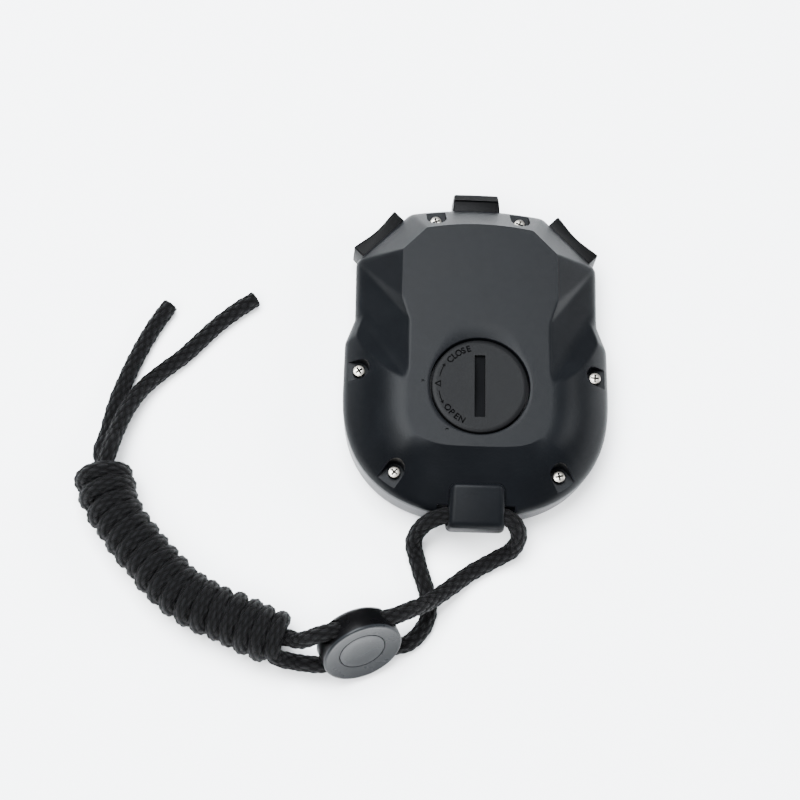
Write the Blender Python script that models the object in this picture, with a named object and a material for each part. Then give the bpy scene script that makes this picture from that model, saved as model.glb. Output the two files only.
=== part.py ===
"""Hand-held electronic stopwatch lying on its face, with a wound lanyard and a cord stopper.

Frame: +Z out of the watch's back, +Y towards the mode button, +X to the right seen from the back.
The origin is on the surface it lies on, under the middle of the watch. Sizes are in millimetres
and become metres where a mesh or a curve is made.
"""
import math

import bmesh
import bpy
from mathutils import Vector

MM = 0.001
GAP = 0.3                       # clearance between neighbouring solids

# Case
COVER_Y = -10.7                 # centre line of the battery cover and of the round lower lobe
Z_FRONT_TOP = 9.5               # top edge of the front shell
Z_BACK_BASE = 9.9               # lower edge of the back shell
Z_RIM = 12.6                    # where the back shell's side wall turns into its slopes
Z_TOP = 22.5                    # flat back
WALL = 2.4
TOP_Y, TOP_CORNER = 39.2, (16.9, 37.7)
SIDE_X, SHOULDER_Y, WAIST_Y = 30.3, 24.3, 8.0
WAIST_CORNER = (32.7, 3.0)
LOBE_X, LOBE_Y, LOBE_POWER = 33.0, 30.0, 2.35
FLAT_TOP_Y, FLAT_CORNER = 31.5, (13.25, 30.2)
FLAT_SHOULDER, FLAT_WAIST, FLAT_X = (19.2, 24.2), (18.6, 9.0), 17.5
FLAT_LOBE_Y, FLAT_POWER = 15.4, 4.0
LOBE_STEPS = 10
LOBE_BULGE = (0.7, 1, 1, 1, 1, 1, 1, 0.75, 0.5, 0.25)   # from the waist round to the flat lower slope
GRIP_SLOPE = 0.773              # fall of each grip's floor, per mm away from the flat back
CAVITY_ROOF = 20.2
SEAL_TOP_Y, SEAL_CORNER, SEAL_SHOULDER_Y = 35.0, (17.3, 34.2), 21.2

# Screws that hold the case together
SCREWS = {"top_left": (-10.56, 34.6, (0, 1)), "top_right": (10.56, 34.6, (0, 1)),
          "side_left": (-29.3, -5.5, (-1, 0)), "side_right": (29.3, -5.5, (1, 0)),
          "bottom_left": (-20.2, -31.1, (-0.62, -0.78)), "bottom_right": (20.2, -31.1, (0.62, -0.78))}
POCKET_R, POCKET_FLOOR = 2.45, 13.8
SCREW_HEAD_R, SCREW_HEAD_H, SCREW_R, SCREW_HOLE_R = 1.4, 1.3, 0.8, 1.15
SCREW_TIP_Z = 4.0
BOSS_R = 2.8

# Battery cover and battery
COVER_R, COVER_SEAT_R, COVER_TOP = 11.8, 12.3, 22.3
COVER_UNDER, PLUG_R, PLUG_BOTTOM = 20.9, 10.3, 19.8
SEAT_Z, BAY_R, BAY_FLOOR, WELL_BOTTOM, WELL_R = 19.3, 10.4, 15.0, 13.5, 13.9
COIN_SLOT = (2.8, 15.8, 1.1)
BATTERY_R, BATTERY_Z = 10.0, (15.9, 19.1)

# Display window, as half width, lower and upper y; and the module behind it
WINDOW, LENS_RECESS, TRIM_RECESS = (22, -8, 14), (24, -10, 16), (27.8, -14.3, 20.3)
TRIM_OUTER, TRIM_INNER, LENS = (27.5, -14, 20), (24.2, -10.2, 16.2), (23.7, -9.7, 15.7)
LCD, LCD_FRAME_OUTER, LCD_FRAME_INNER = (23, -9, 15), (25, -11, 17), (23.3, -9.3, 15.3)
TRIM_RECESS_Z, LENS_RECESS_Z, FACE_INSIDE_Z = 1.2, 1.9, 2.2
LCD_Z, LCD_FRAME_Z, STRIP_Z = (2.5, 4.1), (2.5, 6.1), (4.4, 6.1)
BOARD_SCREWS = ((-20, -15.5), (20, -15.5), (-12, 20.8), (12, 20.8))
BOARD_Z = (6.4, 7.4)
POST_R, POST_HOLE_R = 1.8, 0.9
SOUNDER_Y, SOUNDER_R = 14, 7.5

# Buttons: each works along its own axis and travels inwards
TRAVEL = 1.2
BUTTON_Z = 7.0
SHOULDER_FACE = (TOP_CORNER[0] + TOP_CORNER[1]) / math.sqrt(2)
SIDE_BUTTON_ALONG = 5.4         # how far up the shoulder each side button is centred
SIDE_BUTTON_OUT, MODE_BUTTON_OUT = 3.5, 5.2
POCKET_DEPTH = 1.9
STEM_R, STEM_HOLE_R = 1.2, 1.5
SEAL_SEAT_R, SEAL_SEAT_DEPTH = 2.3, 3.3
INNER_SHOULDER, INNER_TOP_Y = 33.8, 32.4     # inside faces of the wall, where the clips sit
SWITCH_SIZE, PLUNGER_LENGTH = (6.0, 4.2, 2.4), 2.6   # width, height and depth of a switch body

# Lanyard loop, cord and cord stopper
LOOP_HALF_X, LOOP_END_Y, LOOP_LIP_Z = 7.0, -44.4, 8.4
LOOP_TOP_Z = (18.5, 14.8)       # at the case and at the outer end
CHANNEL_Y, CHANNEL_Z, CHANNEL_R = -41.0, 12.6, 2.2
CORD_R = 2.0
HANK_R = 6.6
STOPPER_FACE = (-26.8, -75.3, 11.5)
STOPPER_NORMAL = Vector((0.345, -0.848, 0.4025)).normalized()
STOPPER_LEVEL = Vector((0.938, 0.296, -0.181)).normalized()
STOPPER_R, STOPPER_DEPTH = 9.95, 7.0
BORE_DEPTH, BORE_OFFSET, BORE_R = 4.0, 6.2, 2.2

COLOURS = {  # name: colour, roughness, metallic
    "case_plastic": ((0.045, 0.048, 0.052), 0.45, 0), "front_plastic": ((0.06, 0.065, 0.07), 0.4, 0),
    "button_plastic": ((0.035, 0.036, 0.038), 0.45, 0), "cover_plastic": ((0.04, 0.042, 0.045), 0.5, 0),
    "seal_rubber": ((0.02, 0.02, 0.02), 0.8, 0), "nickel_steel": ((0.6, 0.58, 0.54), 0.3, 1),
    "clear_window": ((0.8, 0.85, 0.85), 0.05, 0), "lcd_glass": ((0.35, 0.4, 0.33), 0.15, 0),
    "trim_plastic": ((0.02, 0.02, 0.022), 0.2, 0), "inner_plastic": ((0.7, 0.7, 0.68), 0.5, 0),
    "board_laminate": ((0.02, 0.16, 0.06), 0.4, 0), "black_resin": ((0.01, 0.01, 0.01), 0.3, 0),
    "brass_disc": ((0.75, 0.55, 0.25), 0.35, 1), "battery_steel": ((0.65, 0.65, 0.66), 0.25, 1),
    "switch_plastic": ((0.05, 0.05, 0.05), 0.5, 0), "cord_braid": ((0.012, 0.012, 0.013), 0.85, 0),
    "stopper_plastic": ((0.02, 0.02, 0.022), 0.35, 0), "stopper_button": ((0.1, 0.11, 0.12), 0.25, 0)}


# ---------------------------------------------------------------- helpers

def clear_scene():
    for item in list(bpy.data.objects):
        bpy.data.objects.remove(item, do_unlink=True)


def material(finish, node_name):
    """One Principled material for one node."""
    colour, roughness, metallic = COLOURS[finish]
    made = bpy.data.materials.new(f"{finish}.{node_name}")
    made.use_nodes = True
    shader = made.node_tree.nodes["Principled BSDF"]
    shader.inputs["Base Color"].default_value = (*colour, 1)
    shader.inputs["Roughness"].default_value = roughness
    shader.inputs["Metallic"].default_value = metallic
    return made


def add_mesh(name, points, faces, finish=None, origin=(0, 0, 0)):
    """An object from world points in mm; its own origin is set at a point in mm."""
    mesh = bpy.data.meshes.new(name)
    base = Vector(origin)
    mesh.from_pydata([(Vector(p) - base) * MM for p in points], [], faces)
    shape = bmesh.new()
    shape.from_mesh(mesh)
    bmesh.ops.recalc_face_normals(shape, faces=shape.faces)
    shape.to_mesh(mesh)
    shape.free()
    item = bpy.data.objects.new(name, mesh)
    item.location = base * MM
    bpy.context.collection.objects.link(item)
    if finish:
        mesh.materials.append(material(finish, name))
    else:
        item.hide_render = True
        item.display_type = 'WIRE'
    return item


def loft(name, rings, finish=None, origin=(0, 0, 0), closed=False):
    """Bridge rings of points in order; the ends are capped, or joined when closed."""
    count = len(rings[0])
    points = [p for ring in rings for p in ring]
    faces = []
    for k in range(len(rings) if closed else len(rings) - 1):
        low, high = k * count, (k + 1) % len(rings) * count
        for i in range(count):
            j = (i + 1) % count
            faces.append((low + i, low + j, high + j, high + i))
    if not closed:
        faces += [tuple(range(count)), tuple(range(len(points) - count, len(points)))]
    return add_mesh(name, points, faces, finish, origin)


def prism(name, outline, z0, z1, finish=None):
    return loft(name, [[(x, y, z) for x, y in outline] for z in (z0, z1)], finish)


def box(name, low, high, finish=None):
    corners = [(low[0], low[1]), (high[0], low[1]), (high[0], high[1]), (low[0], high[1])]
    return prism(name, corners, low[2], high[2], finish)


def frame_along(axis):
    """Two directions square to an axis, so that first x second = axis."""
    axis = Vector(axis).normalized()
    first = Vector((0, 0, 1)).cross(axis)
    first = first.normalized() if first.length > 1e-6 else Vector((1, 0, 0))
    return first, axis.cross(first)


def turned(name, centre, axis, profile, finish=None, sides=24, ring=False, origin=(0, 0, 0)):
    """A turned solid: profile is (radius, height along the axis); a ring's profile closes on itself."""
    first, second = frame_along(axis)
    axis, centre = Vector(axis).normalized(), Vector(centre)
    angles = [math.tau * i / sides for i in range(sides)]
    rings = [[centre + axis * h + (first * math.cos(a) + second * math.sin(a)) * r for a in angles]
             for r, h in profile]
    return loft(name, rings, finish, origin, closed=ring)


def post(name, x, y, radius, z0, z1):
    """An upright cylinder, to cut a hole or to keep a boss."""
    return turned(name, (x, y, 0), (0, 0, 1), [(radius, z0), (radius, z1)], sides=16)


def block_along(name, centre, axis, width, z0, z1, span, finish=None, origin=(0, 0, 0)):
    """A block square to a level axis: span is its reach along the axis from centre."""
    axis = Vector(axis).normalized()
    across = Vector((-axis.y, axis.x, 0)) * (width / 2)
    centre = Vector((centre[0], centre[1], 0))
    plan = [centre + axis * span[0] - across, centre + axis * span[0] + across,
            centre + axis * span[1] + across, centre + axis * span[1] - across]
    return loft(name, [[(p.x, p.y, z) for p in plan] for z in (z0, z1)], finish, origin)


def combine(target, operation, *others):
    for other in others:
        change = target.modifiers.new(operation.title(), 'BOOLEAN')
        change.operation = operation
        change.solver = 'EXACT'
        change.object = other
    return target


def cut(target, *others):
    return combine(target, 'DIFFERENCE', *others)


def join(target, *others):
    return combine(target, 'UNION', *others)


def smooth_route(points, spacing):
    """Points about a given spacing apart on a smooth curve through the route's points."""
    route = [Vector(p) for p in points]
    ends = [route[0] * 2 - route[1]] + route + [route[-1] * 2 - route[-2]]
    fine = []
    for k in range(1, len(ends) - 2):
        a, b, c, d = ends[k - 1:k + 3]
        for step in range(16):
            t = step / 16
            fine.append((b * 2 + (c - a) * t + (a * 2 - b * 5 + c * 4 - d) * t ** 2
                         + (b * 3 - a - c * 3 + d) * t ** 3) / 2)
    fine.append(route[-1])
    total = sum((q - p).length for p, q in zip(fine, fine[1:]))
    count = max(2, round(total / spacing))
    sampled, walked, target = [fine[0]], 0.0, total / count
    for p, q in zip(fine, fine[1:]):
        walked += (q - p).length
        if walked >= target and len(sampled) < count:
            sampled.append(q)
            target += total / count
    sampled.append(fine[-1])
    return sampled


def tube(name, points, radius, finish, resolution=2):
    """A capped tube along points in mm."""
    curve = bpy.data.curves.new(name, 'CURVE')
    curve.dimensions = '3D'
    curve.bevel_depth = radius * MM
    curve.bevel_resolution = resolution
    curve.use_fill_caps = True
    curve.render_resolution_u = 0
    line = curve.splines.new('POLY')
    line.points.add(len(points) - 1)
    for spot, p in zip(line.points, points):
        spot.co = (*(Vector(p) * MM), 1)
    curve.materials.append(material(finish, name))
    item = bpy.data.objects.new(name, curve)
    bpy.context.collection.objects.link(item)
    return item


def coil_spring(name, base, axis, radius, wire, turns, length, finish):
    first, second = frame_along(axis)
    axis, steps = Vector(axis).normalized(), int(turns * 10)
    points = []
    for i in range(steps + 1):
        a = math.tau * turns * i / steps
        turn = first * math.cos(a) + second * math.sin(a)
        points.append(Vector(base) + turn * radius + axis * (length * i / steps))
    return tube(name, points, wire, finish, resolution=0)


# ---------------------------------------------------------------- outlines

def arc_rise(half_width, rise, x):
    """Height of a flat arc at x, below its middle."""
    radius = (half_width ** 2 + rise ** 2) / (2 * rise)
    return radius - math.sqrt(radius ** 2 - x ** 2)


def mirror_half(half):
    """Close a right half that starts at the top and ends at the bottom on x = 0."""
    return half + [(-x, y) for x, y in half[-2:0:-1]]


def lobe_points(half_x, half_y, power):
    points = []
    for step in range(LOBE_STEPS + 1):
        a = math.pi / 2 * step / LOBE_STEPS
        x = half_x * max(math.cos(a), 0) ** (2 / power)
        y = COVER_Y - half_y * math.sin(a) ** (2 / power)
        points.append((0.0 if step == LOBE_STEPS else x, y))
    return points


def half_outline(top_y, corner, shoulder, waist, waist_corner, lobe):
    top = [(corner[0] * t / 3, top_y - arc_rise(corner[0], top_y - corner[1], corner[0] * t / 3))
           for t in range(4)]
    return top + [shoulder, waist, waist_corner] + lobe


def case_outline():
    return mirror_half(half_outline(TOP_Y, TOP_CORNER, (SIDE_X, SHOULDER_Y), (SIDE_X, WAIST_Y),
                                    WAIST_CORNER, lobe_points(LOBE_X, LOBE_Y, LOBE_POWER)))


def seal_outline():
    """The outline that the gasket follows: inside the top screws and the button pockets."""
    return mirror_half(half_outline(SEAL_TOP_Y, SEAL_CORNER, (SIDE_X, SEAL_SHOULDER_Y), (SIDE_X, WAIST_Y),
                                    WAIST_CORNER, lobe_points(LOBE_X, LOBE_Y, LOBE_POWER)))


def flat_outline():
    return mirror_half(half_outline(FLAT_TOP_Y, FLAT_CORNER, FLAT_SHOULDER, FLAT_WAIST,
                                    (FLAT_X, 3.0), lobe_points(FLAT_X, FLAT_LOBE_Y, FLAT_POWER)))


def inset(outline, distance):
    """Move every edge of a clockwise outline inwards by a distance."""
    moved = []
    for k, (x, y) in enumerate(outline):
        here = Vector((x, y))
        before = (here - Vector(outline[k - 1])).normalized()
        after = (Vector(outline[(k + 1) % len(outline)]) - here).normalized()
        n1, n2 = Vector((before.y, -before.x)), Vector((after.y, -after.x))
        moved.append(tuple(here + (n1 + n2) * (distance / (1 + n1.dot(n2)))))
    return moved


def ring_at(outline, z):
    return [(x, y, z) for x, y in outline]


def rectangle(half_x, y0, y1):
    return [(-half_x, y0), (half_x, y0), (half_x, y1), (-half_x, y1)]


# ---------------------------------------------------------------- case

def bulge(index, count):
    """How far the slope at an outline point swells: none on the facets and on the lower slope."""
    step = min(index, count - index) - 6
    return LOBE_BULGE[step] if 0 <= step < len(LOBE_BULGE) else 0.0


def screw_pocket(tag, x, y, out):
    """U-shaped pocket, open outwards, with a round inner end."""
    across = Vector((-out[1], out[0], 0)) * POCKET_R
    away, centre = Vector((*out, 0)), Vector((x, y, 0))
    start = math.atan2(-out[1], -out[0]) - math.pi / 2
    turn = [start + math.pi * i / 8 for i in range(9)]
    plan = [centre + Vector((math.cos(a), math.sin(a), 0)) * POCKET_R for a in turn]
    plan += [centre + away * 12 + across * s for s in (1, -1)]
    if (plan[-2] - plan[-3]).length > (plan[-1] - plan[-3]).length:
        plan[-1], plan[-2] = plan[-2], plan[-1]
    return loft(f"pocket_cutter_{tag}", [[(p.x, p.y, z) for p in plan] for z in (POCKET_FLOOR, 26)])


def scoop(side):
    """The finger grip beside the flat back: its floor slopes down to the side wall."""
    plan = [(17.5, 6.0), (17.5, -6.6), (19.5, -7.9), (30.6, 7.8), (36, 9), (36, 23.8), (30.4, 23.8)]
    floor = [(side * x, y, Z_TOP + 0.1 - (x - FLAT_X) * GRIP_SLOPE) for x, y in plan]
    roof = [(side * x, y, 30) for x, y in plan]
    return loft(f"scoop_cutter_{side}", [floor, roof])


def button_axes():
    """Name, outward direction, and the point where the axis meets the case."""
    root = math.sqrt(0.5)
    axes = [("mode", Vector((0, 1, 0)), Vector((0, TOP_Y, 0)))]
    for name, side in (("left", -1), ("right", 1)):
        out = Vector((side * root, root, 0))
        along = Vector((-side * root, root, 0))
        axes.append((name, out, out * SHOULDER_FACE + along * SIDE_BUTTON_ALONG))
    return axes


def button_size(name):
    """Width, lower and upper height, and how far the button stands out."""
    if name == "mode":
        return 12.0, 2.6, 11.6, MODE_BUTTON_OUT
    return 14.4, 2.2, 11.6, SIDE_BUTTON_OUT


def button_pockets(tag):
    """Cutters for the button pockets, seal seats and stem holes of one shell."""
    cutters = []
    for name, out, face in button_axes():
        width, z0, z1, _ = button_size(name)
        cutters.append(block_along(f"{tag}_{name}_pocket", face, out, width + 2 * GAP, z0 - GAP,
                                   z1 + GAP, (-POCKET_DEPTH, 9)))
        if tag == "front":
            seat = face + Vector((0, 0, BUTTON_Z))
            cutters.append(turned(f"front_{name}_seat", seat, out, [(SEAL_SEAT_R, -SEAL_SEAT_DEPTH),
                                                                             (SEAL_SEAT_R, 0)], sides=20))
            cutters.append(turned(f"front_{name}_hole", seat, out, [(STEM_HOLE_R, -9), (STEM_HOLE_R, 0)],
                                  sides=20))
    return cutters


def make_back_shell():
    outline, flat = case_outline(), flat_outline()
    rings = [ring_at(outline, Z_BACK_BASE), ring_at(outline, Z_RIM)]
    for u in (0.2, 0.4, 0.6, 0.8):
        ring = []
        for k, (low, high) in enumerate(zip(outline, flat)):
            rise = u + bulge(k, len(outline)) * u * (1 - u)
            ring.append((low[0] + (high[0] - low[0]) * u, low[1] + (high[1] - low[1]) * u,
                         Z_RIM + (Z_TOP - Z_RIM) * rise))
        rings.append(ring)
    rings.append(ring_at(flat, Z_TOP))
    shell = loft("back_shell", rings, "case_plastic")

    side = [(-34, Z_BACK_BASE), (-34, LOOP_TOP_Z[0]), (LOOP_END_Y + 1, LOOP_TOP_Z[1]),
            (LOOP_END_Y, LOOP_TOP_Z[1] - 1), (LOOP_END_Y, LOOP_LIP_Z), (-41.1, LOOP_LIP_Z),
            (-41.1, Z_BACK_BASE)]
    loop = loft("loop_block", [[(x, y, z) for y, z in side] for x in (-LOOP_HALF_X, LOOP_HALF_X)])

    seal, inner_flat = inset(seal_outline(), WALL), inset(flat, 2.0)
    cavity = loft("back_cavity", [ring_at(seal, 8), ring_at(seal, 10.4), ring_at(inner_flat, CAVITY_ROOF)])
    cut(cavity, turned("well_keep", (0, COVER_Y, 0), (0, 0, 1), [(WELL_R, WELL_BOTTOM), (WELL_R, 26)]))
    for tag, (x, y, _) in SCREWS.items():
        cut(cavity, post(f"boss_keep_{tag}", x, y, BOSS_R, 7, 26))

    join(shell, loop)
    cut(shell, scoop(-1), scoop(1), cavity)
    cut(shell, turned("cover_seat", (0, COVER_Y, 0), (0, 0, 1), [(COVER_SEAT_R, SEAT_Z), (COVER_SEAT_R, 24)],
                      sides=40))
    cut(shell, turned("battery_bay", (0, COVER_Y, 0), (0, 0, 1), [(BAY_R, BAY_FLOOR), (BAY_R, 20)], sides=40))
    cut(shell, box("plus_slot", (-2.2, COVER_Y + 9, 12), (2.2, COVER_Y + 12, 18.5)),
        box("minus_slot", (-2.2, COVER_Y - 7, 12), (2.2, COVER_Y - 5, 16)))
    for tag, (x, y, out) in SCREWS.items():
        cut(shell, screw_pocket(tag, x, y, out),
            post(f"back_hole_{tag}", x, y, SCREW_HOLE_R, 8, 15))
    mouth = CHANNEL_R + 0.5
    channel = [(mouth, -12), (mouth, -6.8), (CHANNEL_R, -5.2), (CHANNEL_R, 5.2), (mouth, 6.8), (mouth, 12)]
    cut(shell, turned("cord_channel", (0, CHANNEL_Y, CHANNEL_Z), (1, 0, 0), channel, sides=20))
    cut(shell, *button_pockets("back"))
    return shell


def make_front_shell():
    outline = case_outline()
    shell = loft("front_shell", [ring_at(inset(outline, 2.6), 0), ring_at(inset(outline, 0.9), 2.2),
                                 ring_at(inset(outline, 0.4), Z_FRONT_TOP)], "front_plastic")
    cavity = prism("front_cavity", inset(seal_outline(), WALL + 0.2), FACE_INSIDE_Z, 11)
    for tag, (x, y, _) in SCREWS.items():
        cut(cavity, post(f"front_boss_{tag}", x, y, BOSS_R, 1, 12))
    for index, (x, y) in enumerate(BOARD_SCREWS):
        cut(cavity, post(f"post_{index}", x, y, POST_R, 1, LCD_FRAME_Z[1]))
    cut(shell, cavity, prism("gasket_step", inset(seal_outline(), 1.6), 8.5, 11))
    cut(shell, prism("trim_recess", rectangle(*TRIM_RECESS), -1, TRIM_RECESS_Z),
        prism("lens_recess", rectangle(*LENS_RECESS), -1, LENS_RECESS_Z),
        prism("window_opening", rectangle(*WINDOW), -1, 3))
    for tag, (x, y, _) in SCREWS.items():
        cut(shell, post(f"front_hole_{tag}", x, y, SCREW_HOLE_R, 3.4, 12))
    for index, (x, y) in enumerate(BOARD_SCREWS):
        cut(shell, post(f"post_hole_{index}", x, y, POST_HOLE_R, 2.6, 8))
    cut(shell, *button_pockets("front"))
    return shell


def make_screw(name, x, y, seat_z, head_r, head_h, shank_r, tip_z):
    """Pan head screw with a cross recess; its thread is left plain."""
    profile = [(shank_r * 0.5, tip_z), (shank_r, tip_z + 0.6), (shank_r, seat_z), (head_r, seat_z),
               (head_r, seat_z + head_h * 0.5), (head_r * 0.75, seat_z + head_h * 0.9),
               (head_r * 0.4, seat_z + head_h)]
    screw = turned(name, (x, y, 0), (0, 0, 1), profile, "nickel_steel", sides=16)
    arm, top = head_r * 0.62, seat_z + head_h
    cross = box(f"cross_x_{name}", (x - arm, y - 0.2, top - 0.6), (x + arm, y + 0.2, top + 1))
    other = box(f"cross_y_{name}", (x - 0.2, y - arm, top - 0.6), (x + 0.2, y + arm, top + 1))
    join(cross, other)
    return cut(screw, cross)


def make_case():
    make_front_shell()
    make_back_shell()
    loft("case_gasket", [ring_at(inset(seal_outline(), d), z) for d, z in
                         ((1.9, 8.8), (1.9, 9.6), (2.3, 9.6), (2.3, 8.8))], "seal_rubber", closed=True)
    for tag, (x, y, _) in SCREWS.items():
        make_screw(f"case_screw_{tag}", x, y, POCKET_FLOOR + GAP, SCREW_HEAD_R, SCREW_HEAD_H, SCREW_R,
                   SCREW_TIP_Z)


# ---------------------------------------------------------------- module inside

def plate_ring(name, outer, inner, z0, z1, finish):
    loops = [ring_at(outer, z0), ring_at(outer, z1), ring_at(inner, z1), ring_at(inner, z0)]
    return loft(name, loops, finish, closed=True)


def make_module():
    plate_ring("front_trim", rectangle(*TRIM_OUTER), rectangle(*TRIM_INNER), 0.3, 0.9, "trim_plastic")
    prism("window_lens", rectangle(*LENS), 0.5, 1.6, "clear_window")
    prism("lcd_panel", rectangle(*LCD), *LCD_Z, "lcd_glass")
    plate_ring("lcd_frame", rectangle(*LCD_FRAME_OUTER), rectangle(*LCD_FRAME_INNER), *LCD_FRAME_Z,
               "inner_plastic")
    prism("contact_strip_top", rectangle(20, 12.5, 14.1), *STRIP_Z, "seal_rubber")
    prism("contact_strip_bottom", rectangle(20, -8.1, -6.5), *STRIP_Z, "seal_rubber")

    plan = [(-24, -20), (24, -20), (24, 12), (11.8, 24.2), (-11.8, 24.2), (-24, 12)]
    board = prism("circuit_board", plan, *BOARD_Z, "board_laminate")
    for index, (x, y) in enumerate(BOARD_SCREWS):
        cut(board, post(f"board_hole_{index}", x, y, POST_HOLE_R, 5, 9))
        make_screw(f"board_screw_{index + 1}", x, y, BOARD_Z[1] + GAP, 1.2, 0.9, 0.6, 3.0)
    top = BOARD_Z[1] + GAP
    turned("chip_cover", (-6, -8, 0), (0, 0, 1), [(4, top), (3.7, top + 0.8), (2.4, top + 1.4),
                                                  (0.8, top + 1.6)], "black_resin", sides=20)
    turned("quartz_crystal", (8, -4, top + 1.1), (1, 0, 0), [(0.8, 0), (1, 0.2), (1, 5.8), (0.8, 6)],
           "nickel_steel", sides=12)
    turned("sounder_disc", (0, SOUNDER_Y, 0), (0, 0, 1), [(SOUNDER_R, 19.2), (SOUNDER_R, 19.8)], "brass_disc",
           sides=32)
    coil_spring("sounder_spring", (0, SOUNDER_Y, BOARD_Z[1] + 0.6), (0, 0, 1), 1.3, 0.2, 6, 11.0,
                "nickel_steel")

    low, high = BATTERY_Z
    turned("coin_battery", (0, COVER_Y, 0), (0, 0, 1),
           [(8.7, low), (9.0, low + 0.4), (9.7, low + 0.5), (BATTERY_R, low + 0.9), (BATTERY_R, high)],
           "battery_steel", sides=40)
    minus = [(-6.2, top), (-5.8, top), (-5.8, 15.3), (4, 15.3), (4, 15.6), (-6.2, 15.6)]
    plus = [(11.0, top), (11.4, top), (11.4, 17.6), (10.35, 17.6), (10.35, 17.2), (11.0, 17.2)]
    for name, side, half in (("battery_contact_minus", minus, 1.5), ("battery_contact_plus", plus, 1.6)):
        loft(name, [[(x, COVER_Y + y, z) for y, z in side] for x in (-half, half)], "nickel_steel")


# ---------------------------------------------------------------- battery cover

def make_battery_cover():
    """Turns a part turn anticlockwise, seen from the back, to unlock."""
    axis = (0, COVER_Y, 0)
    cover = turned("battery_cover", axis, (0, 0, 1),
                   [(PLUG_R, PLUG_BOTTOM), (PLUG_R, COVER_UNDER), (COVER_R, COVER_UNDER),
                    (COVER_R, COVER_TOP - 0.2), (COVER_R - 0.2, COVER_TOP)], "cover_plastic", sides=48,
                   origin=axis)
    half_x, half_y, depth = COIN_SLOT[0] / 2, COIN_SLOT[1] / 2, COIN_SLOT[2]
    cut(cover, box("coin_slot", (-half_x, COVER_Y - half_y, COVER_TOP - depth),
                   (half_x, COVER_Y + half_y, COVER_TOP + 1)))
    section = [(11.1 + 0.5 * math.cos(a), 20.1 + 0.5 * math.sin(a))
               for a in (math.tau * i / 8 for i in range(8))]
    turned("battery_cover_seal", axis, (0, 0, 1), section, "seal_rubber", sides=40, ring=True, origin=axis)


# ---------------------------------------------------------------- buttons

def make_button(name, out, face):
    """Cap and stem, clip and switch plunger move on one axis; the seal and switch body stay in the case."""
    width, z0, z1, stand_out = button_size(name)
    seat = face + Vector((0, 0, BUTTON_Z))
    base = -POCKET_DEPTH + TRAVEL + GAP
    across = Vector((-out.y, out.x, 0))
    end = [(0.5, 0), (0.3, -0.55), (0, -0.75), (-0.3, -0.55), (-0.5, 0)]     # hollow for the finger
    if name == "mode":
        end = [(0.44, -0.2), (0.2, 0), (0, 0), (-0.2, 0), (-0.44, -0.2)]
    plan = [face + across * (width * s) + out * (stand_out + d) for s, d in end]
    plan += [face - across * (width / 2) + out * base, face + across * (width / 2) + out * base]
    cap = loft(f"{name}_button_cap", [[(p.x, p.y, z) for p in plan] for z in (z0, z1)], "button_plastic",
               origin=seat)
    if name == "mode":
        slope = [(TOP_Y + 3.0, z1 + 1), (TOP_Y + 3.0, z1), (TOP_Y + stand_out, z1 - 2.0),
                 (TOP_Y + stand_out + 2, z1 - 2.0), (TOP_Y + stand_out + 2, z1 + 1)]
        cut(cap, loft("mode_slope", [[(x, y, z) for y, z in slope] for x in (-9, 9)]))
    wall_in = SHOULDER_FACE - INNER_SHOULDER if name != "mode" else TOP_Y - INNER_TOP_Y
    stem_end = -wall_in - 1.4
    join(cap, turned(f"{name}_stem", seat, out, [(STEM_R, stem_end), (STEM_R, base + 0.5)], sides=16))
    rings = (("seal", 1.5, 2.0, -3.0, -2.2, "seal_rubber"),
             ("clip", 1.5, 2.6, -wall_in - 0.8, -wall_in - GAP, "nickel_steel"))
    for part, r0, r1, h0, h1, finish in rings:
        turned(f"{name}_button_{part}", seat, out, [(r0, h0), (r0, h1), (r1, h1), (r1, h0)], finish,
               sides=16, ring=True, origin=seat)
    turned(f"{name}_switch_plunger", seat, out, [(0.9, stem_end - PLUNGER_LENGTH), (0.9, stem_end - GAP)],
           "inner_plastic", sides=12, origin=seat)
    far = stem_end - PLUNGER_LENGTH - TRAVEL - GAP
    wide, high, deep = SWITCH_SIZE
    block_along(f"{name}_switch_body", face, out, wide, BUTTON_Z - high / 2, BUTTON_Z + high / 2,
                (far - deep, far), "switch_plastic")


# ---------------------------------------------------------------- lanyard

def at_stopper(depth, along=0.0, up=0.0):
    """A point of the cord stopper: behind its face, along its cord bores, and across them."""
    across = STOPPER_NORMAL.cross(STOPPER_LEVEL)
    return Vector(STOPPER_FACE) - STOPPER_NORMAL * depth + STOPPER_LEVEL * along + across * up


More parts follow.
